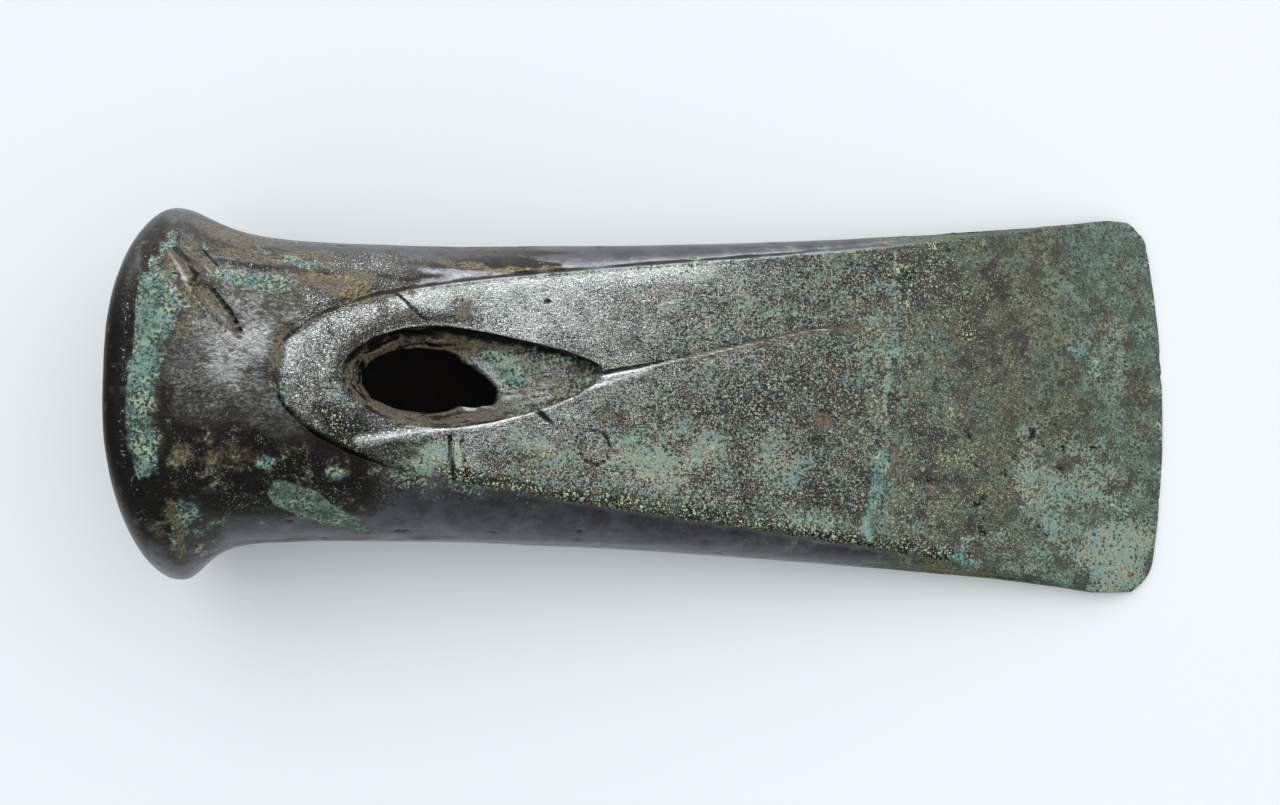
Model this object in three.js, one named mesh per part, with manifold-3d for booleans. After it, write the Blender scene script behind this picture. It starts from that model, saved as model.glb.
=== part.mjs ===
// Bronze socketed axe head, a single casting, lying on one of its wide faces.
// Millimetres, +Z up, the cutting edge towards +X, the origin on the floor under the middle.
//
// The axe is shaped in its own frame first: X runs along the axis from the mouth to the
// cutting edge, Y is sideways and Z is towards the upper face, with the axis at Y = Z = 0.
// It is then tipped so that it rests on the collar and on the cutting edge.
import * as THREE from 'three';
import { mergeVertices } from 'three/addons/utils/BufferGeometryUtils.js';
import Module from 'manifold-3d';

const wasm = await Module();
wasm.setup();

// Body
const axeLength = 110;
const neckWidth = 30.4;
const neckThickness = 27.2;
const sectionPower = 2.38;
const bladeWidth = 42.2;
const bladeSideThickness = 11.9;
const wideningStart = 27.5;
const wideningPower = 1.47;
const thinningStart = 17;

// Collar round the mouth
const collarCrown = 3.95;
const crownSkew = 0.5;
const collarOverhangSides = 3.55;
const collarOverhangFaces = 3.1;
const collarShift = -0.4;
const flareLength = 3.7;
const flareSkew = 1;
const flarePower = 2.3;
const lipSetBackSides = 4.6;
const lipSetBackFaces = 2.3;
const lipBow = 1.2;
const lipFlatShare = 0.25;
const mouthLean = 0.12;

// Wide faces, cut flat across, with an arched border where they meet the round neck
const faceStart = 14;
const faceStep = 0.56;
const faceHollow = 0.77;
const grooveRadius = 0.55;
const grooveDepth = 0.3;
const grooveHalfWidth = 12.5;
const grooveFade = 0.3;

// Cutting edge
const edgeThickness = 1;
const edgeBow = 2.2;
const edgeSkew = 0.5;
const upperCornerRadius = 3.2;
const lowerCornerRadius = 4;
const bevelLength = 24;

// Socket
const wallSides = 2.9;
const wallFaces = 2.7;
const mouthBell = 0.4;
const mouthBellLength = 3;
const solidBlade = 36;
const socketEndWidth = 18;
const socketEndRound = 6;

// Hole through the upper face, an oval bottom widening to a drop shape at the face
const holeStation = 28.8;
const holeLength = 13.2;
const holeWidth = 6;
const dropFrom = 20.2;
const dropTo = 46.2;
const dropWidest = 30.4;
const dropWidth = 10.4;
const dropTipSideways = 1;
const dropTaper = 0.35;
const holeSideways = 0.3;

// How much the collar and the edge are worn flat where they touch the ground
const restWear = 0.3;

// Fineness of the facets
const sectionSides = 60;
const grooveSteps = 48;
const grooveSides = 6;
const holeSides = 32;
const beyond = 10;

function smoothStep(value) {
  const t = Math.min(Math.max(value, 0), 1);
  return t * t * (3 - 2 * t);
}

function signedPower(value, power) {
  return Math.sign(value) * Math.abs(value) ** power;
}

// Half width and half thickness of the round body at a station, before the faces are cut.
// The flare falls off as one over one plus a power of the distance, and the lip is a quarter ellipse.
function bodyAt(station, side = 0) {
  const crown = collarCrown - crownSkew * side;
  const past = Math.max(station - crown, 0);
  const flare = 1 / (1 + (past / (flareLength + flareSkew * side)) ** flarePower);
  const ahead = Math.min(Math.max((crown - station) / crown, 0), 1);
  const lip = 1 - Math.sqrt(1 - ahead ** 2);
  const widening = Math.max((station - wideningStart) / (axeLength - wideningStart), 0) ** wideningPower;
  const thinning = smoothStep((station - thinningStart) / (axeLength - thinningStart));
  return {
    halfWidth: neckWidth / 2 + collarOverhangSides * flare - lipSetBackSides * lip
      + ((bladeWidth - neckWidth) / 2) * widening,
    halfThickness: neckThickness / 2 + collarOverhangFaces * flare - lipSetBackFaces * lip
      - ((neckThickness - bladeSideThickness) / 2) * thinning,
    shift: collarShift * flare,
  };
}

// Height of a wide face over the axis: a straight slope to the edge, slightly hollow in the middle.
function faceHeight(station) {
  const along = (station - faceStart) / (axeLength - faceStart);
  const top = neckThickness / 2 + faceStep;
  return top + (edgeThickness / 2 - top) * along - faceHollow * 4 * along * (1 - along);
}

// How far the cutting edge lies ahead of the nominal length at a place across the blade:
// a bowed and slightly skewed line that ends in two rounded corners.
function edgeLead(across) {
  const share = across / (bladeWidth / 2);
  const radius = share > 0 ? upperCornerRadius : lowerCornerRadius;
  const corner = Math.min(Math.max((Math.abs(across) - bladeWidth / 2 + radius) / radius, 0), 1);
  const held = Math.min(Math.max(share, -1), 1);
  return edgeSkew * held - edgeBow * held ** 2 - radius * (1 - Math.sqrt(1 - corner ** 2));
}

// A closed solid through rings of equal count. Each ring starts on the line that halves it,
// so each end is closed by strips between its two halves.
function ringSolid(rings) {
  const count = rings[0].length;
  const last = (rings.length - 1) * count;
  const index = [];
  for (let row = 0; row < rings.length - 1; row += 1) {
    for (let k = 0; k < count; k += 1) {
      const a = row * count + k;
      const b = row * count + ((k + 1) % count);
      index.push(a, b, a + count, b, b + count, a + count);
    }
  }
  for (let k = 0; k < count / 2; k += 1) {
    const near = [k, k + 1, count - k - 1, (count - k) % count];
    if (near[0] !== near[3]) index.push(near[0], near[3], near[1], near[1], near[3], near[2]);
    else index.push(near[0], near[2], near[1]);
    const far = near.map((corner) => corner + last);
    if (near[0] !== near[3]) index.push(far[0], far[1], far[3], far[1], far[2], far[3]);
    else index.push(far[0], far[1], far[2]);
  }
  const geometry = new THREE.BufferGeometry().setFromPoints(rings.flat());
  geometry.setIndex(index);
  return toSolid(geometry);
}

function toSolid(geometry) {
  geometry.deleteAttribute('normal');
  geometry.deleteAttribute('uv');
  const merged = mergeVertices(geometry, 1e-5);
  const corners = merged.index.array;
  const kept = [];
  for (let k = 0; k < corners.length; k += 3) {
    const [a, b, c] = [corners[k], corners[k + 1], corners[k + 2]];
    if (a !== b && b !== c && c !== a) kept.push(a, b, c);
  }
  return new wasm.Manifold(new wasm.Mesh({
    numProp: 3,
    vertProperties: new Float32Array(merged.attributes.position.array),
    triVerts: new Uint32Array(kept),
  }));
}

// Stations along the axe: close together on the lip and the flare, even along the blade.
function stations() {
  const lipRows = 7;
  const flareRows = 11;
  const bladeRows = 17;
  const flareEnd = collarCrown + 5 * flareLength;
  const list = [];
  for (let k = 0; k < lipRows; k += 1) {
    list.push(collarCrown * (1 - Math.cos((Math.PI / 2) * (k / lipRows))));
  }
  for (let k = 0; k < flareRows; k += 1) {
    list.push(collarCrown + (flareEnd - collarCrown) * (k / flareRows) ** 1.5);
  }
  for (let k = 0; k <= bladeRows; k += 1) {
    list.push(flareEnd + (axeLength + beyond - flareEnd) * (k / bladeRows));
  }
  return list;
}

// The round body: superellipse rings. The mouth leans a little, and its sides are set back.
function roundBody() {
  return ringSolid(stations().map((station) => {
    const ring = [];
    for (let k = 0; k < sectionSides; k += 1) {
      const angle = (2 * Math.PI * k) / sectionSides;
      const side = signedPower(Math.cos(angle), 2 / sectionPower);
      const up = signedPower(Math.sin(angle), 2 / sectionPower);
      const body = bodyAt(station, side);
      const height = body.halfThickness * up;
      const nearLip = Math.max(1 - station / collarCrown, 0);
      const setBack = Math.max(Math.abs(side) - lipFlatShare, 0) / (1 - lipFlatShare);
      const lead = (lipBow * setBack ** 2 - mouthLean * height) * nearLip;
      ring.push(new THREE.Vector3(station + lead, body.halfWidth * side + body.shift, height));
    }
    return ring;
  }));
}

// Places across the blade, closer together where the two corners turn.
function acrossList() {
  const cornerSteps = 6;
  const middleSteps = 12;
  const reach = bladeWidth / 2 + beyond;
  const list = [reach];
  for (let k = 0; k < cornerSteps; k += 1) {
    const turn = Math.cos((Math.PI / 2) * (k / cornerSteps));
    list.push(bladeWidth / 2 - upperCornerRadius * (1 - turn));
  }
  const from = bladeWidth / 2 - upperCornerRadius;
  const to = lowerCornerRadius - bladeWidth / 2;
  for (let k = 0; k <= middleSteps; k += 1) {
    list.push(from + (to - from) * (k / middleSteps));
  }
  for (let k = cornerSteps - 1; k >= 0; k -= 1) {
    const turn = Math.cos((Math.PI / 2) * (k / cornerSteps));
    list.push(lowerCornerRadius * (1 - turn) - bladeWidth / 2);
  }
  list.push(-reach);
  return list;
}

// The block that the faces and the cutting edge bound. Cutting the round body with it
// leaves the two faces and their arched borders.
function faceBlock() {
  const places = acrossList();
  const faceRows = 14;
  const tall = neckThickness / 2 + collarOverhangFaces + beyond;
  const rows = [[-beyond, tall], [faceStart, tall]];
  for (let k = 0; k <= faceRows; k += 1) {
    const station = faceStart + (axeLength - faceStart) * (k / faceRows);
    rows.push([station, faceHeight(station)]);
  }
  return ringSolid(rows.map(([station, height]) => {
    const near = smoothStep(1 - (axeLength - station) / bevelLength);
    const upper = places.map((across) => (
      new THREE.Vector3(station + edgeLead(across) * near, across, height)));
    const lower = upper.map((point) => new THREE.Vector3(point.x, point.y, -point.z)).reverse();
    const first = upper[0].clone().setZ(0);
    const middle = lower[0].clone().setZ(0);
    return [first, ...upper, middle, ...lower];
  }));
}

// Height of the round body over the axis at a station and a place across it.
function bodyHeight(station, across) {
  const body = bodyAt(station);
  const share = Math.min(Math.abs(across / body.halfWidth), 1);
  return body.halfThickness * (1 - share ** sectionPower) ** (1 / sectionPower);
}

// The station where the face meets the round body at a place across it, by halving.
function borderStation(across) {
  let low = faceStart - 2;
  let high = axeLength;
  for (let k = 0; k < 40; k += 1) {
    const middle = (low + high) / 2;
    if (bodyHeight(middle, across) < faceHeight(middle) - faceStep / 2) low = middle;
    else high = middle;
  }
  return high;
}

// The groove along an arched border: a thin round bar laid half into the surface,
// which rises out of it at both ends.
function borderGroove(up) {
  const points = [];
  for (let k = 0; k <= grooveSteps; k += 1) {
    const reach = (2 * k) / grooveSteps - 1;
    const across = grooveHalfWidth * Math.sin((Math.PI / 2) * reach);
    const station = borderStation(across);
    const lift = grooveDepth * smoothStep((Math.abs(reach) - 1 + grooveFade) / grooveFade);
    const height = bodyHeight(station, across) + grooveRadius - grooveDepth + lift;
    points.push(new THREE.Vector3(station, across, height * up));
  }
  const section = new THREE.Shape().absarc(0, 0, grooveRadius, 0, 2 * Math.PI);
  const bar = new THREE.ExtrudeGeometry(section, {
    extrudePath: new THREE.CatmullRomCurve3(points),
    steps: grooveSteps,
    curveSegments: grooveSides,
  });
  return toSolid(bar);
}

// The hollow of the socket: rounded rings that narrow to a wedge with a round end.
function socketHollow() {
  const depth = axeLength - solidBlade;
  const rows = [-beyond, 0, 1, 2.5, 5, 9];
  const straightRows = 9;
  for (let k = 1; k <= straightRows; k += 1) {
    rows.push(9 + (depth - socketEndRound - 9) * (k / straightRows));
  }
  const roundRows = 5;
  for (let k = 1; k <= roundRows; k += 1) {
    rows.push(depth - socketEndRound * (1 - Math.sin((Math.PI / 2) * (k / roundRows))));
  }
  return ringSolid(rows.map((station) => {
    const along = Math.max(station, 0) / depth;
    const bell = mouthBell * Math.exp(-Math.max(station, 0) / mouthBellLength);
    const mouthHalf = neckWidth / 2 - wallSides;
    const ceiling = Math.min(neckThickness / 2, faceHeight(Math.max(station, faceStart)));
    const past = Math.max((station - depth + socketEndRound) / socketEndRound, 0);
    const close = Math.sqrt(1 - Math.min(past, 0.995) ** 2);
    const halfWidth = (mouthHalf + (socketEndWidth / 2 - mouthHalf) * along + bell) * close;
    const halfThickness = (ceiling - wallFaces + bell) * close;
    const ring = [];
    for (let k = 0; k < sectionSides; k += 2) {
      const angle = (2 * Math.PI * k) / sectionSides;
      const side = signedPower(Math.cos(angle), 2 / sectionPower);
      const up = signedPower(Math.sin(angle), 2 / sectionPower);
      ring.push(new THREE.Vector3(station, halfWidth * side, halfThickness * up));
    }
    return ring;
  }));
}

// The hole: an oval straight up from the axis to the socket's ceiling, then a drop that opens
// out to the face. The drop is an ellipse on each side of its widest place.
function faceHole() {
  const levels = [
    { depth: neckThickness / 2, open: 0 },
    { depth: wallFaces, open: 0 },
    { depth: wallFaces * 0.45, open: 0.45 },
    { depth: 0, open: 1 },
    { depth: -beyond / 4, open: 1.25 },
  ];
  return ringSolid(levels.map(({ depth, open }) => {
    const ring = [];
    for (let k = 0; k < holeSides; k += 1) {
      const angle = (2 * Math.PI * k) / holeSides;
      const along = Math.cos(angle);
      const reach = along > 0 ? dropTo - dropWidest : dropWidest - dropFrom;
      const drop = {
        station: dropWidest + reach * along,
        across: (dropWidth / 2) * Math.sin(angle) * (1 - dropTaper * Math.max(along, 0))
          + dropTipSideways * Math.max(along, 0) ** 2,
      };
      const station = THREE.MathUtils.lerp(holeStation + (holeLength / 2) * along, drop.station, open);
      const across = THREE.MathUtils.lerp((holeWidth / 2) * Math.sin(angle), drop.across, open);
      ring.push(new THREE.Vector3(station, across + holeSideways, faceHeight(station) - depth));
    }
    return ring;
  }));
}

// Tips the finished axe on to the collar and the edge, wears the touching spots flat
// and brings the middle of the floor box to the origin.
function laidDown(solid) {
  const collarHeight = neckThickness / 2 + collarOverhangFaces;
  const tip = Math.atan((collarHeight - edgeThickness / 2) / (axeLength - collarCrown));
  const turned = solid.rotate([0, THREE.MathUtils.radToDeg(tip), 0]);
  const floor = turned.boundingBox().min[2] + restWear;
  const ground = new THREE.BoxGeometry(4 * axeLength, 4 * axeLength, axeLength);
  ground.translate(0, 0, floor - axeLength / 2);
  const worn = turned.subtract(toSolid(ground));
  const box = worn.boundingBox();
  return worn.translate([
    -(box.min[0] + box.max[0]) / 2,
    -(box.min[1] + box.max[1]) / 2,
    -box.min[2],
  ]);
}

function toGeometry(solid) {
  const mesh = solid.getMesh();
  const geometry = new THREE.BufferGeometry();
  geometry.setAttribute('position', new THREE.BufferAttribute(mesh.vertProperties, 3));
  geometry.setIndex(new THREE.BufferAttribute(mesh.triVerts, 1));
  geometry.computeVertexNormals();
  return geometry;
}

const casting = roundBody()
  .intersect(faceBlock())
  .subtract(borderGroove(1))
  .subtract(borderGroove(-1))
  .subtract(socketHollow())
  .subtract(faceHole());

const bronze = new THREE.MeshStandardMaterial({ color: 0x56605b, roughness: 0.5, metalness: 0.6 });
const axeHead = new THREE.Mesh(toGeometry(laidDown(casting)), bronze);
axeHead.name = 'axe_head';

const group = new THREE.Group();
group.add(axeHead);

export default group;
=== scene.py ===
"""Looks of the bronze age axe head: one corroded casting with its socket, its worn hole and its crusts."""
import itertools
import math

import bpy
import numpy as np
from mathutils import Matrix, Vector


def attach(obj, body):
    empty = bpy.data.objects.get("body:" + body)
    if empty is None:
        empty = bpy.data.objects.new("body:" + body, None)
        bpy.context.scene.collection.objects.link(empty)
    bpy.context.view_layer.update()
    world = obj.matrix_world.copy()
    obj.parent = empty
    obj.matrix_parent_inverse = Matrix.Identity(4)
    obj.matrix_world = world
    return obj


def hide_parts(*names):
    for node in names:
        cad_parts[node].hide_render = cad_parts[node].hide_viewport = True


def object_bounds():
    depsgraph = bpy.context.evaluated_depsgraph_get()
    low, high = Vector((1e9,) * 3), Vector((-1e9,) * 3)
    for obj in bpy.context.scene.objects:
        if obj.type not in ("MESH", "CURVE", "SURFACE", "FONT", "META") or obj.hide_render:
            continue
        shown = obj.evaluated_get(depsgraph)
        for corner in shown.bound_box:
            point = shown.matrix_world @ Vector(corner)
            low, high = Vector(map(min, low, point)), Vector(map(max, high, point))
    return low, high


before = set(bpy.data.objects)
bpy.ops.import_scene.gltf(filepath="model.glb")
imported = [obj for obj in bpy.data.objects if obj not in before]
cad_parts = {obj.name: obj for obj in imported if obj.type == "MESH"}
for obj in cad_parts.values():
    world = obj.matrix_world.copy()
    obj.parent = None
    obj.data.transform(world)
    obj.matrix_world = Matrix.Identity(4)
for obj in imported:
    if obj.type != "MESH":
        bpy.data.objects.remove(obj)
cad_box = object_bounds()

# Metres in a millimetre. The casting is worked out in millimetres, in the axe's own frame:
# station along the axis from the mouth, across it, and height from the axis to the upper face.
MM = 0.001

# Camera, as it stands over the photographed axe, in metres and degrees
CAMERA_LOOKS_AT = (-0.00357, -0.00086, 0.0117)
CAMERA_DISTANCE = 0.18
CAMERA_PITCH = 7.06
CAMERA_ROLL = -0.2
CAMERA_LENS = 48.35

# Body, as in the solid part
AXE_LENGTH = 110
NECK_WIDTH = 30.4
NECK_THICKNESS = 27.2
SECTION_POWER = 2.38
BLADE_WIDTH = 42.2
BLADE_SIDE_THICKNESS = 11.9
WIDENING_START = 27.5
WIDENING_POWER = 1.47
THINNING_START = 17
COLLAR_CROWN = 3.95
CROWN_SKEW = 0.5
COLLAR_OVERHANG_SIDES = 3.55
COLLAR_OVERHANG_FACES = 3.1
COLLAR_SHIFT = -0.4
FLARE_LENGTH = 3.7
FLARE_SKEW = 1
FLARE_POWER = 2.3
LIP_SET_BACK_SIDES = 4.6
LIP_SET_BACK_FACES = 2.3
LIP_BOW = 1.2
LIP_FLAT_SHARE = 0.25
MOUTH_LEAN = 0.12
FACE_START = 14
FACE_STEP = 0.56
FACE_HOLLOW = 0.77
EDGE_THICKNESS = 1
EDGE_BOW = 2.2
EDGE_SKEW = 0.5
UPPER_CORNER_RADIUS = 3.2
LOWER_CORNER_RADIUS = 4
BEVEL_LENGTH = 24
WALL_SIDES = 2.9
WALL_FACES = 2.7
MOUTH_BELL = 0.4
MOUTH_BELL_LENGTH = 3
SOLID_BLADE = 36
SOCKET_END_WIDTH = 18
SOCKET_END_ROUND = 6
HOLE_STATION = 28.8
HOLE_LENGTH = 13.2
HOLE_WIDTH = 6
DROP_FROM = 20.2
DROP_TO = 46.2
DROP_WIDEST = 30.4
DROP_WIDTH = 10.4
DROP_TIP_SIDEWAYS = 1
DROP_TAPER = 0.35
HOLE_SIDEWAYS = 0.3
REST_WEAR = 0.3

# Finer shapes that the solid part leaves to this script
SHARP_HALF_THICKNESS = 0.17
SHARP_SLOPE = 0.24
RIM_ROUND = 0.7
GROOVE_DEPTH = 0.3
GROOVE_HALF_WIDTH = 12.5
BORDER_SOFTNESS = 0.6

# How far the skin stays inside the box of the solid part, and where the middle of that box lies on the axe
CLEARANCE = 0.01
MIDDLE_STATION = 54.2
MIDDLE_ACROSS = 0.07

# Rows of the outer skin from the lip to the cutting edge, and the stations where their spacing changes
LIP_ROWS = 12
COLLAR_ROWS = 24
FACE_ROWS = 95
BLADE_ROWS = 111
EDGE_ROWS = 16
FINE_ROWS_TO = 50
EDGE_ROWS_FROM = 104

# Columns from a side to the border of a face and from there to its middle, on the upper and lower half
OUTER_COLUMNS = ((34, 60), (20, 24))
SOCKET_COLUMNS = ((10, 36), (8, 8))

# Windows that the hole's own mesh fills, of one size in the outer skin and in the socket
WINDOW_ROWS = 80
WINDOW_HALF_COLUMNS = 35
OUTER_WINDOW_START = LIP_ROWS - 1 + COLLAR_ROWS + 12
SOCKET_MOUTH_ROWS = 14
SOCKET_ROWS_FROM = 2.2
SOCKET_WINDOW = (20.5, 37)

# Edge of the open hole, as stations and places across
HOLE_EDGE = ((22.1, 0.2), (22.9, 1.9), (25.0, 3.1), (28.5, 3.4), (31.1, 3.2), (31.8, 2.3), (33.3, 1.5),
             (34.7, 0.5), (35.4, -0.8), (34.9, -2.0), (33.7, -2.6), (33.0, -2.1), (31.5, -2.0),
             (30.9, -2.7), (28.0, -2.9), (25.0, -2.5), (23.0, -1.5))

# Tints that the surface carries as vertex attributes, each from 0 to 1. The tint for rubbed metal is partly
# painted sheen, the lip tint is partly painted highlight, the dark tint holds painted shadow besides black
# patina, and the cut and socket tints are painted shadow.
TINTS = ("bare_and_sheen", "smooth", "green", "olive", "bloom", "earth", "crust", "dark", "dots", "socket", "cut",
         "lip", "brushed")


def smooth_step(value):
    """Rises from 0 to 1 as three squares less two cubes of the value, held between 0 and 1."""
    held = np.clip(value, 0, 1)
    return held * held * (3 - 2 * held)


def mix(first, second, share):
    """The first value moved to the second by a share."""
    return first + (second - first) * share


# Large odd numbers that scatter the corners of the noise's cubes, and the mask that keeps 32 bits of them
SCATTER = (374761393, 668265263, 1274126177, 971215073)
STIR = (1103515245, 2246822519)
LOW_BITS = 0xFFFFFFFF
HALF_OF_LOW_BITS = 0x7FFFFFFF


def lattice_noise(places, seed):
    """Random numbers from -1 to 1 on the corners of unit cubes, mixed by smooth steps inside each cube."""
    cell = np.floor(places).astype(np.int64)
    inside = smooth_step(places - cell)
    total = np.zeros(places.shape[:-1])
    for corner in itertools.product((0, 1), repeat=3):
        x, y, z = np.moveaxis(cell + np.array(corner), -1, 0)
        code = (x * SCATTER[0] + y * SCATTER[1] + z * SCATTER[2] + seed * SCATTER[3]) & LOW_BITS
        code = ((code ^ (code >> 13)) * STIR[0]) & LOW_BITS
        code = ((code ^ (code >> 16)) * STIR[1]) & LOW_BITS
        value = (code ^ (code >> 15)) / HALF_OF_LOW_BITS - 1
        total += value * np.prod(np.where(corner, inside, 1 - inside), axis=-1)
    return total


def rough(places, size, seed, octaves=3):
    """Noise of a grain size, to which each finer octave adds half as much at half the size."""
    total = np.zeros(places.shape[:-1])
    for octave in range(octaves):
        total += lattice_noise(places * 2 ** octave / size, seed + octave) / 2 ** octave
    return total


def body_at(station, side):
    """Half width, half thickness and sideways shift of the round body before its faces are cut.
    The flare falls off as one over one plus a power of the distance, and the lip is a quarter ellipse."""
    crown = COLLAR_CROWN - CROWN_SKEW * side
    past = np.maximum(station - crown, 0)
    flare = 1 / (1 + (past / (FLARE_LENGTH + FLARE_SKEW * side)) ** FLARE_POWER)
    ahead = np.clip((crown - station) / crown, 0, 1)
    lip = 1 - np.sqrt(1 - ahead ** 2)
    widening = np.maximum((station - WIDENING_START) / (AXE_LENGTH - WIDENING_START), 0) ** WIDENING_POWER
    thinning = smooth_step((station - THINNING_START) / (AXE_LENGTH - THINNING_START))
    half_width = (NECK_WIDTH / 2 + COLLAR_OVERHANG_SIDES * flare - LIP_SET_BACK_SIDES * lip
                  + (BLADE_WIDTH - NECK_WIDTH) / 2 * widening)
    half_thickness = (NECK_THICKNESS / 2 + COLLAR_OVERHANG_FACES * flare - LIP_SET_BACK_FACES * lip
                      - (NECK_THICKNESS - BLADE_SIDE_THICKNESS) / 2 * thinning)
    return half_width, half_thickness, COLLAR_SHIFT * flare


def face_height(station):
    """Height of a wide face over the axis: a straight slope to the edge, hollowed by a parabola."""
    along = (station - FACE_START) / (AXE_LENGTH - FACE_START)
    top = NECK_THICKNESS / 2 + FACE_STEP
    return top + (EDGE_THICKNESS / 2 - top) * along - FACE_HOLLOW * 4 * along * (1 - along)


def edge_lead(across):
    """How far the cutting edge lies ahead of the nominal length: a bowed, skewed line with round corners."""
    share = across / (BLADE_WIDTH / 2)
    radius = np.where(share > 0, UPPER_CORNER_RADIUS, LOWER_CORNER_RADIUS)
    corner = np.clip((np.abs(across) - BLADE_WIDTH / 2 + radius) / radius, 0, 1)
    held = np.clip(share, -1, 1)
    return EDGE_SKEW * held - EDGE_BOW * held ** 2 - radius * (1 - np.sqrt(1 - corner ** 2))


def superellipse_height(across, half_width, half_thickness):
    """Height of a superellipse over its middle: one less a power of the share across, under its root."""
    share = np.minimum(np.abs(across / half_width), 1)
    return half_thickness * (1 - share ** SECTION_POWER) ** (1 / SECTION_POWER)


def body_height(station, across):
    """Height of the round body over the axis."""
    half_width, half_thickness, _ = body_at(station, np.clip(2 * across / NECK_WIDTH, -1, 1))
    return superellipse_height(across, half_width, half_thickness)


def rise_over_border(station, across):
    """How far the round body stands over the border of the panel, which is half a step under the face."""
    rise = body_height(station, across) - face_height(station) + FACE_STEP / 2
    return np.where(station < FACE_START - 1, -1, rise)


def border_distance(station, across):
    """Distance from the arched border, positive on the panel: the rise divided by how fast it changes."""
    step = 0.1
    rise = rise_over_border(station, across)
    along = (rise_over_border(station + step, across) - rise) / step
    out = np.abs(across)
    sideways = (rise_over_border(station, out + step) - rise_over_border(station, out)) / step
    return rise / np.maximum(np.hypot(along, sideways), 0.1)


def skin_height(station, across, height):
    """Height of the cast skin: the round body outside the arched border and the flat panel inside it,
    with a hollow of bell-shaped section just outside the border, deepest at the top of the arch."""
    distance = border_distance(station, across)
    panel = mix(height, face_height(station), smooth_step(distance / BORDER_SOFTNESS + 0.5))
    arch = smooth_step((GROOVE_HALF_WIDTH - np.abs(across)) / 6)
    groove = GROOVE_DEPTH * arch * np.exp(-((distance + 0.5) / 0.45) ** 2)
    line = 0.1 * (1 - arch) * np.exp(-((distance + 0.25) / 0.3) ** 2)
    return np.where(station < FACE_START - 3, height, panel - groove - line)


def socket_at(station):
    """Half width and half thickness of the socket, which narrows evenly and closes as a quarter ellipse."""
    depth = AXE_LENGTH - SOLID_BLADE
    along = np.maximum(station, 0) / depth
    bell = MOUTH_BELL * np.exp(-np.maximum(station, 0) / MOUTH_BELL_LENGTH)
    mouth_half = NECK_WIDTH / 2 - WALL_SIDES
    ceiling = np.minimum(NECK_THICKNESS / 2, face_height(np.maximum(station, FACE_START)))
    past = np.clip((station - depth + SOCKET_END_ROUND) / SOCKET_END_ROUND, 0, 1)
    close = np.sqrt(1 - past ** 2)
    half_width = mouth_half + (SOCKET_END_WIDTH / 2 - mouth_half) * along + bell
    return half_width * close, (ceiling - WALL_FACES + bell) * close


def ceiling_height(station, across):
    """Height of the socket's ceiling over the axis."""
    return superellipse_height(across, *socket_at(station))


class Ring:
    """Columns round the axe, from the middle of its +Y side over the top and back underneath.
    Each has two signs, its share of the way from the side to the border of the face, and its share on
    from there to the middle of the face."""

    def __init__(self, upper, lower):
        parts = []
        for (rounds, faces), up, sides in ((upper, 1, (1, -1)), (lower, -1, (-1, 1))):
            rising = np.stack([np.append(np.arange(rounds) / rounds, np.ones(faces)),
                               np.append(np.zeros(rounds), np.arange(faces) / faces)])
            falling = np.hstack([[[1], [1]], rising[:, :0:-1]])
            for side, shares in zip(sides, (rising, falling)):
                parts.append(np.vstack([np.full((2, shares.shape[1]), [[side], [up]]), shares]))
        self.side_sign, self.up_sign, self.round_share, self.face_share = np.hstack(parts)
        self.upper_count = 2 * sum(upper)
        self.top = sum(upper)

    def shares(self, border):
        """Sideways and upward shares of the unit superellipse for rows whose border lies at a given share.
        Columns are even along the curve from the side to the border, and even across the face."""
        angle = np.linspace(0, math.pi / 2, 2001)
        side = np.cos(angle) ** (2 / SECTION_POWER)
        up = np.sin(angle) ** (2 / SECTION_POWER)
        length = np.append(0, np.cumsum(np.hypot(np.diff(side), np.diff(up))))
        at_border = np.interp(-border, -side, length)
        round_side = np.interp(at_border * self.round_share, length, side)
        across = np.where(self.face_share + self.round_share > 1 - 1e-9,
                          border * (1 - self.face_share), round_side)
        height = (1 - np.minimum(across, 1) ** SECTION_POWER) ** (1 / SECTION_POWER)
        return across * self.side_sign, height * self.up_sign


def border_share(station):
    """Where the border of the face lies on the body, as a share of its half width. Near the arch it stays
    wide, so that the columns keep even, and at the cutting edge it moves in, for columns at the corners."""
    half_width, half_thickness, _ = body_at(station, 0)
    level = np.clip((face_height(station) - FACE_STEP / 2) / half_thickness, 0, 1)
    arch = np.where(station < FACE_START, 0, (1 - level ** SECTION_POWER) ** (1 / SECTION_POWER))
    wide = (arch ** 10 + (9 / half_width) ** 10) ** 0.1
    return np.minimum(wide, 0.99) * (1 - 0.12 * smooth_step((station - 82) / 28))


def outer_stations():
    """Stations of the rows: crowded on the lip, then even, finer over the hole than over the blade, and
    crowded again at the cutting edge."""
    lip = COLLAR_CROWN * (1 - np.cos(np.linspace(0.12, math.pi / 2, LIP_ROWS)))
    to_edge = (AXE_LENGTH - EDGE_ROWS_FROM) * np.linspace(1, 0, EDGE_ROWS + 1)[1:] ** 1.2
    return np.concatenate([lip, np.linspace(COLLAR_CROWN, FACE_START, COLLAR_ROWS + 1)[1:],
                           np.linspace(FACE_START, FINE_ROWS_TO, FACE_ROWS + 1)[1:],
                           np.linspace(FINE_ROWS_TO, EDGE_ROWS_FROM, BLADE_ROWS + 1)[1:],
                           AXE_LENGTH - to_edge])


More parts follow.
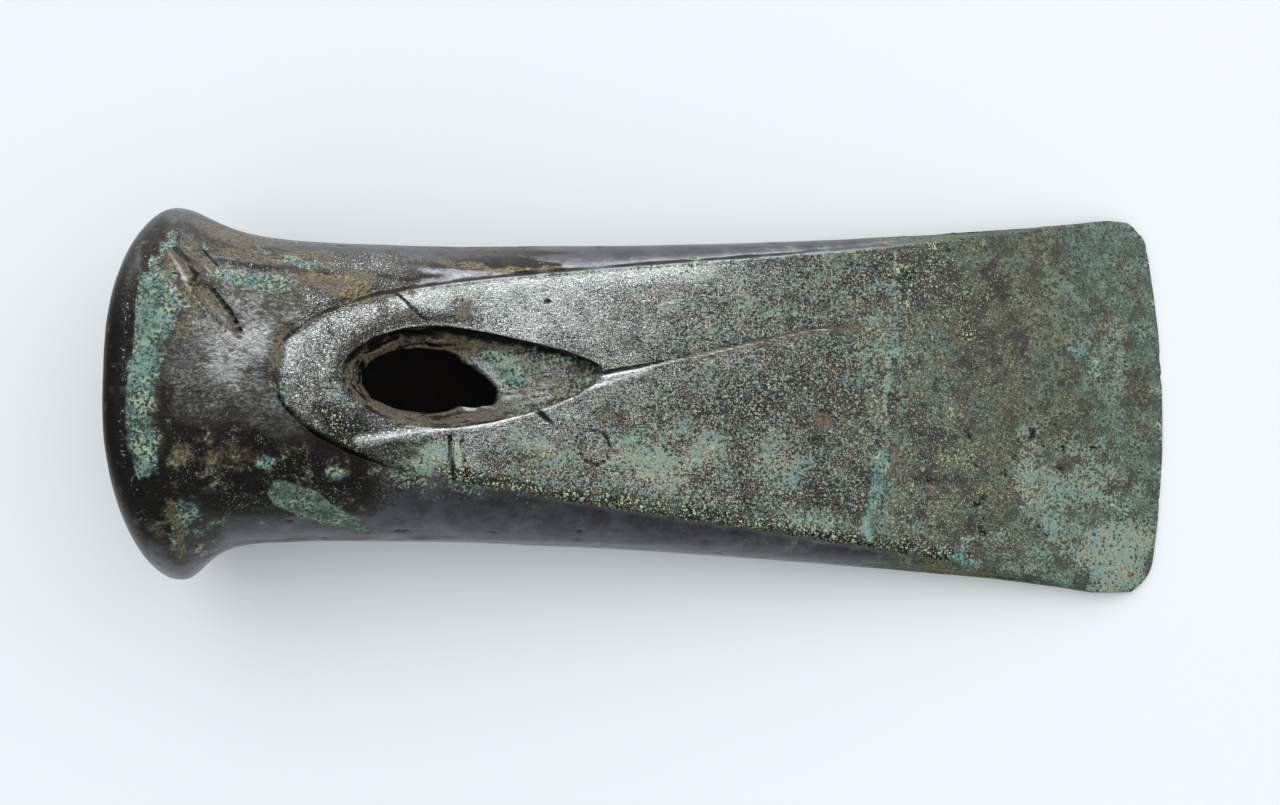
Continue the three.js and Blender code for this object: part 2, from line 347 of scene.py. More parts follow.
def outer_skin(ring):
    """The skin from the inside of the mouth over the lip, the collar and the neck to the cutting edge."""
    station = outer_stations()[:, None]
    side, up = ring.shares(border_share(station))
    half_width, half_thickness, shift = body_at(station, side)
    height = half_thickness * np.abs(up)
    across = half_width * side
    level = skin_height(station, across, height)
    to_edge = AXE_LENGTH - station
    sharp = SHARP_HALF_THICKNESS + SHARP_SLOPE * to_edge + 40 * smooth_step(to_edge / 12 - 0.3)
    level = np.minimum(level, sharp)
    lead = mouth_lead(side, half_thickness * up) * np.maximum(1 - station / COLLAR_CROWN, 0)
    near = smooth_step(1 - to_edge / BEVEL_LENGTH)
    body = np.stack([station + lead + edge_lead(across) * near, across + shift, level * np.sign(up)], -1)
    return np.concatenate([mouth_rim(ring), body])


def mouth_lead(side, height):
    """How far a place on the lip lies behind the mouth: a bow at both sides and a lean with the height."""
    set_back = np.maximum(np.abs(side) - LIP_FLAT_SHARE, 0) / (1 - LIP_FLAT_SHARE)
    return LIP_BOW * set_back ** 2 - MOUTH_LEAN * height


def mouth_rim(ring):
    """The flat lip: from the wall of the socket round a quarter circle, then straight out to the collar."""
    side, up = ring.shares(border_share(np.array([[0.0]])))
    half_width, half_thickness, shift = body_at(0.0, side)
    outer = np.stack([half_width * side + shift, half_thickness * up], -1)
    turn = np.append([0, 0], np.linspace(0, math.pi / 2, 5)[1:])[:, None]
    inward = np.append([2 * RIM_ROUND], RIM_ROUND * (1 - np.sin(turn[1:])))[:, None]
    socket_width, socket_thickness = socket_at(inward)
    inner = np.stack([socket_width * side, socket_thickness * up], -1)
    wall = np.linalg.norm(outer - inner, axis=-1)
    out = RIM_ROUND * (1 - np.cos(turn)) / wall
    rounded = mix(inner, outer, out[..., None])
    steps = np.linspace(0, 1, 6)[1:-1, None, None]
    flat = mix(rounded[-1], outer, steps)
    section = np.concatenate([rounded, flat])
    back = np.append(inward, np.zeros(len(flat)))[:, None] + mouth_lead(side, section[..., 1])
    return np.concatenate([back[..., None], section], -1)


def socket_stations():
    """Stations of the socket's rows: even, finer under the hole, and crowded where the end rounds."""
    rounding = AXE_LENGTH - SOLID_BLADE - SOCKET_END_ROUND
    turn = np.sin(np.linspace(0, math.pi / 2, 9))[1:]
    start, end = SOCKET_WINDOW
    return np.concatenate([np.linspace(SOCKET_ROWS_FROM, start, SOCKET_MOUTH_ROWS + 1)[:-1],
                           np.linspace(start, end, WINDOW_ROWS + 1), np.linspace(end, rounding, 20)[1:],
                           AXE_LENGTH - SOLID_BLADE - SOCKET_END_ROUND * (1 - turn)])


def socket_skin(ring):
    """The wall of the socket from just inside the mouth to its end. Its first rows follow the bow and the
    lean of the mouth, which fade over a centimetre."""
    station = socket_stations()[:, None]
    half_width, half_thickness = socket_at(station)
    border = np.clip(5.2 / np.maximum(half_width, 5.5), 0, 0.9)
    side, up = ring.shares(border)
    lead = mouth_lead(side, half_thickness * up) * np.maximum(1 - (station - station[0]) / 10, 0)
    return np.stack([station + lead, half_width * side, half_thickness * up], -1)


def window_loop(rows, columns):
    """Row and column numbers round a window in a grid, anticlockwise as seen from above."""
    (first, last), (left, right) = rows, columns
    across, along = right - left, last - first
    row = np.concatenate([np.full(across, last), last - np.arange(along),
                          np.full(across, first), first + np.arange(along)])
    column = np.concatenate([right - np.arange(across), np.full(along, left),
                             left + np.arange(across), np.full(along, right)])
    return row, column


def window(first_row, middle_column):
    """First and last rows and columns of a window about the middle of the upper face."""
    return ((first_row, first_row + WINDOW_ROWS),
            (middle_column - WINDOW_HALF_COLUMNS, middle_column + WINDOW_HALF_COLUMNS))


def drop_outline(angle):
    """The rim of the worn hollow: a half ellipse on each side of its widest place, narrowing and bending
    sideways towards the blade."""
    along = np.cos(angle)
    ahead = np.maximum(along, 0)
    reach = np.where(along > 0, DROP_TO - DROP_WIDEST, DROP_WIDEST - DROP_FROM)
    across = DROP_WIDTH / 2 * np.sin(angle) * (1 - DROP_TAPER * ahead) + DROP_TIP_SIDEWAYS * ahead ** 2
    return DROP_WIDEST + reach * along, across + HOLE_SIDEWAYS


def hole_outline(angle):
    """The open hole: points round its edge, joined in polar form about the middle of the oval. Its upper
    far end is still closed by a thin slope, and a nub stands in its lower edge."""
    points = np.array(HOLE_EDGE) - (HOLE_STATION, HOLE_SIDEWAYS)
    points /= (HOLE_LENGTH / 2, HOLE_WIDTH / 2)
    turn = np.arctan2(points[:, 1], points[:, 0])
    spread = np.radians(np.linspace(-5, 5, 7))[:, None]
    radius = np.interp(angle + spread, turn, np.hypot(*points.T), period=2 * math.pi).mean(0)
    return (HOLE_STATION + HOLE_LENGTH / 2 * radius * np.cos(angle),
            HOLE_SIDEWAYS + HOLE_WIDTH / 2 * radius * np.sin(angle))


def hole_mesh(outer_loop, socket_loop, angle):
    """The skin round the hole as rings: from the window in the face to the rim of the drop, down its wall to
    the open hole, and back under the ceiling of the socket to the socket's window."""
    drop = np.stack(drop_outline(angle), -1)
    hole = np.stack(hole_outline(angle), -1)
    ragged = np.stack([3 * np.cos(angle), 3 * np.sin(angle), 0 * angle], -1)
    drop += 0.05 * rough(ragged, 0.9, 51)[:, None] * (drop - drop.mean(0)) / 6
    hole += 0.06 * rough(ragged, 0.6, 61)[:, None] * (hole - hole.mean(0)) / 3
    share = (1 - (1 - np.linspace(0, 1, 17)[:, None, None]) ** 1.25)
    ground = mix(outer_loop[:, :2], drop, share)
    height = skin_height(ground[..., 0], ground[..., 1], body_height(ground[..., 0], ground[..., 1]))
    face = np.concatenate([ground, height[..., None]], -1)
    down = np.linspace(0, 1, 27)[1:, None]
    floor = smooth_step(np.cos(angle) * 1.6)
    shade_side = smooth_step(np.sin(angle) * 1.5 + 0.2)
    inward = down ** mix(1.0, mix(1.15, 1.9, shade_side), floor)
    sink = down ** mix(1.25, mix(1.0, 0.75, shade_side), floor)
    ground = mix(drop, hole, inward[..., None])
    station, across = np.moveaxis(ground, -1, 0)
    level = mix(face_height(station), ceiling_height(station, across), sink)
    wall = np.concatenate([ground, level[..., None]], -1)
    share = np.linspace(0, 1, 11)[1:, None, None]
    ground = mix(hole, socket_loop[:, :2], share)
    station, across = np.moveaxis(ground, -1, 0)
    under = np.concatenate([ground, ceiling_height(station, across)[..., None]], -1)
    return np.concatenate([face, wall, under]), (len(face), len(face) + len(wall))


def grid_normals(grid):
    """Unit normals of a grid with closed rows: the change along the columns crossed with the change along
    the rows."""
    along_rows = np.gradient(grid, axis=0)
    along_columns = np.roll(grid, -1, 1) - np.roll(grid, 1, 1)
    normal = np.cross(along_columns, along_rows)
    return normal / np.maximum(np.linalg.norm(normal, axis=-1, keepdims=True), 1e-12)


class Skin:
    """A stretch of the surface being finished: its places, its normals, its relief and its tints."""

    def __init__(self, places, normals):
        self.places = places
        self.station, self.across, self.height = np.moveaxis(places, -1, 0)
        self.normals = normals
        self.upper = smooth_step(normals[..., 2] * 3 + 0.2) * (self.height > 0)
        self.distance = border_distance(self.station, self.across)
        level = smooth_step((np.abs(normals[..., 2]) - 0.55) / 0.3)
        self.panel = smooth_step(self.distance / 0.7) * level * (self.station > FACE_START)
        self.relief = np.zeros(self.station.shape)
        self.tints = {name: np.zeros(self.station.shape) for name in TINTS}
        self.known = {}

    def rough(self, size, seed, octaves=3, stretch=1):
        """Noise over the surface, drawn out along the axe by the stretch and kept for the next use."""
        key = (size, seed, octaves, stretch)
        if key not in self.known:
            self.known[key] = rough(self.places / (stretch, 1, 1), size, seed, octaves)
        return self.known[key]

    def blob(self, station, across, length, width, turn=0, ragged=0.3, grain=1.5, soft=0.5, seed=7):
        """One inside an ellipse turned by some degrees, falling to nothing at its ragged outline."""
        cosine, sine = math.cos(math.radians(turn)), math.sin(math.radians(turn))
        ahead, aside = self.station - station, self.across - across
        reach = np.hypot((ahead * cosine + aside * sine) / (length / 2),
                         (aside * cosine - ahead * sine) / (width / 2))
        return smooth_step((1 + soft / 2 - reach + ragged * self.rough(grain, seed)) / soft) * self.upper

    def reach(self, points, widths, wobble=0.0, seed=3):
        """Distance from a line through some points, in half widths. One width holds for all points, or each
        has its own."""
        nearest = np.full(self.station.shape, 1e9)
        here = np.stack([self.station, self.across], -1) + wobble * self.rough(2.0, seed)[..., None]
        points = np.array(points, float)
        widths = np.broadcast_to(widths, len(points))
        for start, end, first, last in zip(points, points[1:], widths, widths[1:]):
            run = end - start
            share = np.clip((here - start) @ run / (run @ run), 0, 1)
            away = np.linalg.norm(here - start - share[..., None] * run, axis=-1)
            nearest = np.minimum(nearest, 2 * away / mix(first, last, share))
        return nearest

    def stroke(self, points, widths, wobble=0.0, seed=3):
        """One on a line through some points, falling off as a bell of the given width."""
        return np.exp(-self.reach(points, widths, wobble, seed) ** 2) * self.upper

    def line(self, name, points, widths, strength=1.0, wobble=0.0):
        """A thin line kept as a slope that reaches one on the line and nothing at two widths from it."""
        self.tint(name, strength * np.maximum(1 - self.reach(points, widths, wobble) / 4, 0) * self.upper)

    def tint(self, name, share):
        """Raises a tint to a share, where it isn't higher already."""
        self.tints[name] = np.maximum(self.tints[name], np.clip(share, 0, 1))

    def wipe(self, share, *names):
        """Takes a share of some tints away: each is multiplied by what the share leaves of one."""
        for name in names:
            self.tints[name] = self.tints[name] * (1 - np.clip(share, 0, 1))

    def cover(self, name, share, height=0.0, grain=0.0, seed=91):
        """A crust that hides the other tints and stands a little proud, with a grain of its own."""
        self.wipe(share, *(other for other in TINTS if other != name))
        self.tint(name, share)
        self.relief += np.clip(share, 0, 1) * (height + grain * self.rough(0.8, seed))


def cast_unevenness(skin):
    """Slow swells of the casting and shallow corrosion, deeper towards the blade."""
    corroded = smooth_step((skin.station - 45) / 40)
    skin.relief += 0.06 * skin.rough(16, 1, 2) + 0.025 * skin.rough(5, 5, 2)
    skin.relief += mix(0.008, 0.03, corroded) * skin.rough(1.4, 11)
    pits = smooth_step((skin.rough(1.8, 17, 2) - 0.62) / 0.3)
    skin.relief -= 0.13 * pits * corroded * skin.panel


def side_finish(skin):
    """Narrow sides and the roll of the collar: smooth slate metal with tan and dark stains along the upper
    side, and the casting seam as a low bell-shaped ridge."""
    flank = smooth_step((0.7 - np.abs(skin.normals[..., 2])) / 0.25)
    beside = (1 - skin.panel) * smooth_step((skin.station - 21 + 3 * skin.rough(5, 43)) / 9)
    lip = smooth_step((1.6 - skin.station) / 0.6)
    skin.tint("smooth", np.maximum(np.maximum(flank * (1 - skin.panel), beside), lip))
    tan = smooth_step((skin.rough(2.2, 31, 3, stretch=4) - 0.15) / 0.35) * (skin.across > 0)
    tan *= smooth_step((34 - skin.station) / 25) * smooth_step((skin.station - 5) / 2)
    skin.tint("earth", 0.8 * tan * flank)
    stain = np.exp(-((skin.distance + 1.1) / 1.2) ** 2) * smooth_step(skin.across / 3) * skin.upper
    stain *= smooth_step((skin.station - 16) / 6) * smooth_step((56 - skin.station) / 16)
    streak = smooth_step((skin.rough(2.2, 31, 3, stretch=4) + 0.35) / 0.5)
    skin.wipe(0.9 * stain * streak, "smooth")
    skin.tint("dark", 0.8 * stain * streak)
    skin.tint("earth", 0.75 * stain * smooth_step((skin.rough(1.6, 35, 3, stretch=4) - 0.05) / 0.4))
    seam = np.exp(-((skin.height - 1.5 - 0.05 * skin.station) / 0.8) ** 2) * flank
    near = smooth_step((skin.station - 6) / 5) * smooth_step((34 - skin.station) / 8)
    notch = np.exp(-((skin.station - 25.5) / 1.5) ** 2)
    ridge = 0.05 + 0.16 * near * (skin.across < 0) * (1 - 1.7 * notch)
    skin.relief += seam * ridge * (1 + 0.5 * skin.rough(3, 37))
    pits = smooth_step((skin.rough(1.1, 39, 2, stretch=2) - 0.85) / 0.15) * flank
    skin.relief -= 0.12 * pits
    skin.tint("dark", pits)


def neck_finish(skin):
    """The neck: a lighter saddle, partly rubbed metal and partly painted sheen, over a stained underpart,
    brushed along the axe.
    """
    neck = smooth_step((skin.station - 3.5) / 1.5) * (1 - skin.panel) * smooth_step((30 - skin.station) / 8)
    neck *= smooth_step((np.abs(skin.normals[..., 2]) - 0.45) / 0.3)
    # Lighter metal over the neck and the saddle: partly rubbed, partly painted sheen where it faces the
    # light.
    skin.tint("bare_and_sheen", 0.3 * neck)
    skin.tint("brushed", smooth_step((18 - skin.station) / 4) * (1 - skin.panel))
    skin.tint("bare_and_sheen", 0.62 * skin.blob(9.6, 2.2, 9.0, 7.2, ragged=0.6, grain=3, soft=1.4))
    skin.wipe(0.9 * skin.blob(8.5, 1.4, 8.5, 7.0, ragged=0.5, grain=3, soft=1.1), "dark", "smooth")
    line = -2.6 + 1.6 * skin.rough(4, 37) - 0.1 * (skin.station - 8)
    low = smooth_step((line - skin.across) / 3.5) * neck * skin.upper * smooth_step((27 - skin.station) / 6)
    skin.wipe(low, "bare_and_sheen")
    skin.tint("dark", 0.85 * low)
    row = np.exp(-((skin.across + 8.0) / 1.2) ** 2)
    skin.tint("earth", low * (0.2 + 0.28 * row * smooth_step((16 - skin.station) / 6)))
    skin.tint("crust", low * (0.1 + 0.12 * np.exp(-((skin.across + 8.8) / 1.2) ** 2)))
    skin.tint("dots", 0.36 * low)
    skin.tint("dark", 0.3 * neck * skin.upper * smooth_step((6 - skin.across) / 3))
    below = neck * (1 - smooth_step(skin.normals[..., 2] * 3 + 0.5))
    skin.tint("earth", 0.7 * below * smooth_step((skin.rough(5, 45) - 0.2) / 0.5))


# Patches on the upper side, each with its station, place across, length, width, turn in degrees and strength
EARTH_PATCHES = ((19.0, 9.4, 11, 2.9, -10, 0.9), (8.6, 14.6, 10, 1.8, -12, 0.8),
                 (10.5, 12.0, 6, 1.0, -10, 0.7), (15.9, 12.6, 9, 1.1, -4, 0.6),
                 (31.4, 7.0, 2.6, 2.2, 80, 0.4), (26.7, 6.8, 1.3, 0.7, 40, 0.8),
                 (14.3, 2.4, 1.3, 7.5, -14, 0.55), (46.6, -3.2, 2.2, 1.2, 0, 0.6),
                 (78.4, -7.8, 2.2, 3.4, 20, 0.85), (81.9, -9.6, 1.8, 1.4, 0, 0.75),
                 (5.2, 9.4, 3.5, 5, 30, 0.6), (96.0, 7.5, 9, 7, 0, 0.25), (107.8, -2.6, 0.8, 0.7, 0, 0.8),
                 (86.0, 10.5, 13, 6, -4, 0.2))
CRUST_PATCHES = ((12.0, 9.3, 8.5, 2.2, -4, 0.8), (16.4, 11.3, 3.4, 1.4, -20, 0.75),
                 (13.2, -8.3, 1.8, 1.3, 0, 0.8), (19.6, -9.3, 3.8, 1.1, 0, 0.7),
                 (6.2, -13.0, 1.6, 2.6, 20, 0.7), (99.9, 5.2, 2.6, 2.0, -30, 1.0),
                 (101.6, 3.8, 2.0, 1.6, -40, 0.9), (55.5, 5.3, 1.4, 0.9, 0, 0.9),
                 (57.9, 6.1, 1.6, 0.8, 0, 1.0), (53.3, 4.6, 2.0, 1.4, 0, 0.4),
                 (64.2, 8.6, 3.5, 2.6, 10, 0.4), (68.0, -13.2, 9, 1.6, -6, 0.6),
                 (14.4, -1.8, 1.6, 2.6, 0, 0.6), (84.8, -6.9, 2.2, 1.8, 0, 0.35),
                 (108.4, 17.6, 3, 5, 0, 0.5), (104.5, -11.5, 3.0, 4.0, 0, 0.5),
                 (49.8, -4.7, 2.2, 1.6, 0, 0.6), (36.2, 6.8, 0.8, 1.4, 0, 0.7),
                 (44.6, 3.4, 0.7, 0.9, 0, 0.6), (61.5, 9.2, 3.0, 1.6, 20, 0.6))
BLOOM_PATCHES = ((29.0, -8.2, 10, 4.6, -8, 0.7), (31.4, -7.8, 2.4, 5, 0, 0.8),
                 (41.0, -7.0, 12, 5.4, 0, 0.75), (53.0, -7.0, 13, 8, 0, 0.8), (64.6, -7.6, 7, 9, 20, 0.6),
                 (61.0, 10.0, 20, 6.0, 4, 0.4), (35.0, 9.0, 12, 4.0, 4, 0.35), (76.0, 7.0, 8, 11, 0, 0.5),
                 (98.0, -10.0, 16, 14, 10, 0.7), (103.5, -15.5, 14, 10, 0, 0.95),
                 (105.5, -10, 8, 7, 0, 0.5), (57.0, 2.6, 14, 4, 12, 0.4), (20.0, -1.0, 6, 8, 0, 0.3),
                 (103.0, 6.0, 8, 9, 0, 0.5))
DARK_PATCHES = ((58.0, -2.5, 22, 5.5, 12, 0.4), (68.0, 1.0, 16, 6.0, 12, 0.3),
                (83.5, 11.5, 16, 9, -4, 0.52), (77.0, 13.0, 8, 5, 0, 0.4), (38.5, -7.6, 9, 3.0, -6, 0.5),
                (22.0, -5.6, 10, 4.6, -16, 0.8), (68.0, -9.5, 8, 4, 0, 0.3), (91.0, 4.0, 8, 6, 0, 0.25),
                (46.5, -3.1, 4, 2, 0, 0.3), (87.0, -9.0, 14, 10, 0, 0.3), (12.5, 15.2, 8, 1.2, -6, 0.7),
                (17.5, 10.4, 7, 1.1, -10, 0.8), (11.6, 10.9, 9, 0.7, -5, 0.9))
# Lines on the upper side as places along them: gouges with their widths and their depth, thin scratches,
# and dark cuts, painted as shadow, with their widths and their strength
GOUGES = ((((3.9, 11.6), (4.8, 10.4), (6.0, 8.9)), (0.9, 1.1, 0.5), 0.3),
          (((5.2, 12.6), (6.9, 11.0), (7.8, 9.8)), (1.5, 1.1, 0.6), 0.25),
          (((6.9, 7.9), (8.8, 5.7), (10.6, 3.4)), (1.7, 1.3, 0.4), 0.35))
FINE_SCRATCHES = (((3.6, 8.3), (5.9, 5.6)), ((4.2, 8.3), (6.6, 5.4)), ((4.4, 7.2), (6.6, 4.4)),
                  ((5.2, 8.7), (7.6, 5.6)), ((4.4, 10.5), (6.2, 7.7)), ((52.0, 8.6), (57.0, 10.0)),
                  ((53.0, 9.6), (58.4, 11.0)))
CUTS = ((((4.5, 12.0), (5.6, 10.8), (6.5, 9.2)), 0.35, 1),
        (((6.6, 12.3), (7.9, 11.2), (8.5, 10.0)), 0.25, 0.9),
        (((7.9, 8.1), (9.6, 6.0), (10.9, 3.7)), 0.3, 1), (((6.0, 8.3), (8.0, 5.6), (9.6, 3.6)), 0.2, 0.8),
        (((3.5, 9.7), (5.2, 9.0), (6.4, 8.7)), 0.3, 0.9), (((25.0, 8.6), (28.3, 5.9)), 0.18, 1),
        (((30.7, -5.5), (30.9, -7.6), (31.2, -9.9)), (0.3, 0.42, 0.3), 1),
        (((31.9, -5.8), (32.1, -8.0)), 0.3, 0.86), (((39.3, -2.6), (41.2, -4.2)), (0.5, 0.15), 1),
        (((43.6, -6.2), (44.1, -4.9), (45.3, -4.5), (46.4, -5.0), (46.9, -6.2)), 0.32, 0.83),
        (((43.6, -6.2), (44.1, -7.5), (45.4, -8.1), (46.4, -7.5), (46.9, -6.2)), 0.32, 0.86),
        (((45.8, 1.25), (52.1, 2.75)), (0.3, 0.24), 1),
        (((52.1, 2.75), (58.0, 4.4), (62.0, 5.3)), 0.2, 0.82), (((18.0, -0.6), (23.0, -0.2)), 0.1, 0.8),
        (((40.3, 8.3), (40.5, 8.4)), 0.35, 1), (((47.2, 6.9), (48.0, 6.9)), 0.2, 0.9))
SCRATCH = ((45.8, 0.9), (52.1, 2.45), (61.8, 4.95), (68.8, 6.75), (74.0, 7.4))
LOWER_LIP = ((22.0, -6.2), (26.8, -5.3), (29.7, -4.9), (34.6, -4.3), (39.3, -2.7), (44.8, -0.2), (50.5, 1.7))
VEIN = ((76.4, -6.4), (75.8, -9.9), (74.6, -12.6), (74.4, -14.8))
FORK = ((86.2, -14.7), (84.2, -17.2), (86.9, -17.6))
STRIPES = (((77.2, 4.6), (76.7, -3.0)), ((78.4, 15.6), (78.0, 9.5)))
DENT = (45.2, -6.3)
PIT = (69.8, -2.7)
TEARDROP = ((14.6, -11.2), (17.4, -12.1), (20.0, -13.4), (22.8, -14.4))


def panel_finish(skin):
    """The flat panel: grey metal with painted sheen round the hole and along its upper border, darker and
    dotted further on, with painted shadow by the upper rim of the hole and in the border groove.
    """
    fade = smooth_step((88 - skin.station + 6 * skin.rough(9, 51)) / 60)
    near = smooth_step((66 - skin.station) / 12)
    # Painted sheen along the upper border, where its rounded edge faces the light.
    top_border_sheen = np.exp(-(skin.distance / 3.5) ** 2) * (skin.across > 0) * near
    around = np.exp(-(np.hypot((skin.station - 26) / 13, (skin.across + 0.5) / 8)) ** 4)
    even = (0.5 + 0.024 * skin.across) * fade + 0.05
    sheen = np.maximum(np.maximum(0.25 * around, top_border_sheen), even)
    # Painted shadow where the panel rounds down into the upper rim of the hole; it takes the sheen away
    # there.
    painted_rim_shadow = np.exp(-((np.hypot((skin.station - 30) / 9.5, (skin.across - 0.8) / 5.4) - 1) / 0.14) ** 2)
    painted_rim_shadow *= smooth_step((32 - skin.station + skin.across) / 8) * skin.upper
    sheen *= mix(0.72, 1, smooth_step((skin.station - 20) / 6))
    skin.tint("bare_and_sheen", sheen * skin.panel)
    skin.wipe(0.7 * painted_rim_shadow, "bare_and_sheen")
    skin.tint("dark", 0.45 * painted_rim_shadow * skin.panel)
    dotted = smooth_step((skin.station - 16 - 1.6 * np.maximum(skin.across, 0)) / 36)
    skin.tint("dots", skin.panel * dotted * (1 - 0.65 * smooth_step((skin.station - 70) / 36)))
    # Painted shadow in the groove along the arched border, stronger on the upper border and fading far
    # along.
    line = np.maximum(1 - np.abs(skin.distance + 0.2) / 0.6, 0) * (skin.station > FACE_START)
    line *= smooth_step((np.abs(skin.normals[..., 2]) - 0.2) / 0.3)
    upper_border = smooth_step((skin.across - 2) / 4) * smooth_step((skin.station - 24) / 10)
    lower_border = smooth_step((-2 - skin.across) / 4) * smooth_step((skin.station - 24) / 8)
    far = smooth_step((skin.station - 64) / 12)
    depth = 0.82 + 0.3 * skin.rough(2, 57) + 0.2 * upper_border - 0.4 * lower_border
    skin.tint("cut", line * depth * (1 - 0.7 * far))
    bead = np.exp(-((skin.distance - 0.2) / 0.5) ** 2)
    skin.tint("crust", 0.45 * bead * upper_border * (1 - far) * skin.upper)
    band = smooth_step((2.6 - skin.distance + 0.9 * skin.rough(2.5, 59)) / 1.6)
    band *= smooth_step((skin.distance + 0.3) / 0.5)
    band *= skin.upper * smooth_step((96 - skin.station) / 14)
    band *= np.maximum(lower_border, 0.7 * upper_border * smooth_step((skin.station - 68) / 12))
    skin.wipe(0.8 * band, "bare_and_sheen")
    skin.tint("olive", 0.75 * band)
    skin.tint("dark", 0.68 * band)
    skin.tint("dots", band)


def blade_finish(skin):
    """The blade: matte green and olive corrosion that takes over towards the cutting edge."""
    spread = skin.station + 6 * skin.rough(14, 47) + 3 * skin.rough(4, 53)
    skin.tint("green", smooth_step((spread - 55) / 38))
    skin.tint("crust", 0.12 * smooth_step((spread - 90) / 18))
    skin.tint("olive", 0.5 * smooth_step((spread - 66) / 16) * smooth_step((104 - spread) / 14))
    skin.wipe(smooth_step((spread - 84) / 12), "smooth")
    rim = smooth_step((skin.station - 108.2) / 1.5)
    skin.tint("crust", 0.4 * rim)
    nicks = smooth_step((rough(skin.places * (0.2, 1, 0.2), 1.6, 67) - 0.35) / 0.3)
    nicks *= smooth_step((skin.station - 108.4) / 1.4)
    skin.relief -= 0.25 * nicks


def upper_marks(skin):
    """The single marks that show on the upper side, from blooms and patches to gouges, pits and veins."""
    for *place, strength in DARK_PATCHES:
        share = skin.blob(*place, ragged=0.6, grain=3, soft=1.4)
        skin.tint("dark", strength * share)
        skin.tint("dots", 0.6 * share)
        skin.wipe(0.6 * share, "bare_and_sheen", "green")
    for *place, strength in BLOOM_PATCHES:
        skin.tint("bloom", strength * skin.blob(*place, ragged=0.6, grain=3, soft=1.8))
    for *place, strength in EARTH_PATCHES:
        share = strength * skin.blob(*place, ragged=0.7, soft=1.3)
        skin.tint("earth", share)
        skin.wipe(share, "crust", "bare_and_sheen")
    for *place, strength in CRUST_PATCHES:
        share = strength * skin.blob(*place, ragged=0.7, soft=1.1)
        skin.wipe(share, "dark")
        skin.tint("crust", share)
        skin.relief += share * (0.06 + 0.06 * skin.rough(0.8, 91))
    for points, widths, depth in GOUGES:
        fill = skin.stroke(points, widths, 0.06)
        skin.relief += 0.5 * depth * skin.stroke(points, 2.4 * np.array(widths), 0.06) - 1.5 * depth * fill
        skin.wipe(fill, "crust", "dark", "earth")
        skin.tint("earth", 0.9 * fill)
        skin.line("lip", points, 0.45, 0.72, 0.1)
    for points in FINE_SCRATCHES:
        skin.line("lip", points, 0.2, 0.8, 0.05)
    for points, width, strength in CUTS:
        skin.line("cut", points, width, strength, 0.06)
        skin.relief -= 0.12 * strength * skin.stroke(points, 0.5, 0.06)
    far = smooth_step((58 - skin.station) / 8)
    lip = skin.stroke(SCRATCH, 0.7, 0.05)
    skin.relief += 0.08 * lip * far - 0.1 * lip * (1 - far)
    # Pale line along the scratch: partly a painted highlight on its raised lower lip.
    skin.line("lip", SCRATCH, (0.3, 0.25, 0.2, 0.15, 0.1), 0.9, 0.05)
    skin.tint("earth", 0.8 * lip * (1 - far))
    skin.wipe(lip, "dots", "bloom", "dark")
    # Painted highlight and painted sheen along the raised lower lip of the hollow, where it faces the light.
    skin.line("lip", LOWER_LIP, (0.1, 0.15, 0.2, 0.22, 0.24, 0.22, 0.15), 1, 0.05)
    lip = skin.stroke(LOWER_LIP, 0.9, 0.05)
    skin.relief += 0.1 * lip
    skin.tint("bare_and_sheen", 0.7 * skin.stroke(LOWER_LIP, 1.6))
    skin.wipe(lip, "bloom", "dots", "dark")
    skin.relief -= 0.14 * skin.blob(*DENT, 3.2, 3.0, soft=1, ragged=0.1)
    skin.relief += 0.08 * skin.blob(*DENT, 4.4, 4.2, soft=0.8, ragged=0.1)
    pit = skin.blob(*PIT, 2.1, 2.0, soft=0.7, ragged=0.15)
    skin.cover("earth", 0.85 * pit, -0.3)
    for points in (VEIN, FORK):
        vein = smooth_step((skin.stroke(points, 1.7 if points is VEIN else 0.9, 0.3) - 0.25) / 0.35)
        skin.cover("crust", 0.96 * vein, 0.16, 0.1)
    drop = smooth_step((skin.stroke(TEARDROP, (2.4, 2.6, 1.8, 0.8), 0.1) - 0.2) / 0.3)
    skin.wipe(drop, "dark", "smooth", "earth", "crust")
    skin.tint("green", drop)
    skin.tint("crust", 0.3 * drop)
    for points in STRIPES:
        skin.tint("bloom", 0.8 * skin.stroke(points, 0.9, 0.1))
    black = smooth_step((skin.rough(0.8, 83, 1) - 0.66) / 0.12)
    black *= skin.blob(89, -8, 26, 20, soft=1, ragged=0.2)
    skin.relief -= 0.2 * black
    skin.tint("dark", black)


# Left and right border of the collar's green strip at some places across
STRIP_ACROSS = (-12.0, -10.5, -8.8, -6.7, -3.6, -2.0, -0.5, 2.7, 5.0, 6.4, 8.9, 12.0, 14.5)
STRIP_LEFT = (2.6, 1.7, 1.3, 1.05, 0.9, 0.45, 1.0, 1.15, 1.2, 1.25, 1.6, 3.1, 4.1)
STRIP_RIGHT = (2.6, 3.3, 3.7, 3.8, 3.3, 3.5, 3.7, 4.2, 5.1, 5.4, 5.2, 4.9, 4.6)


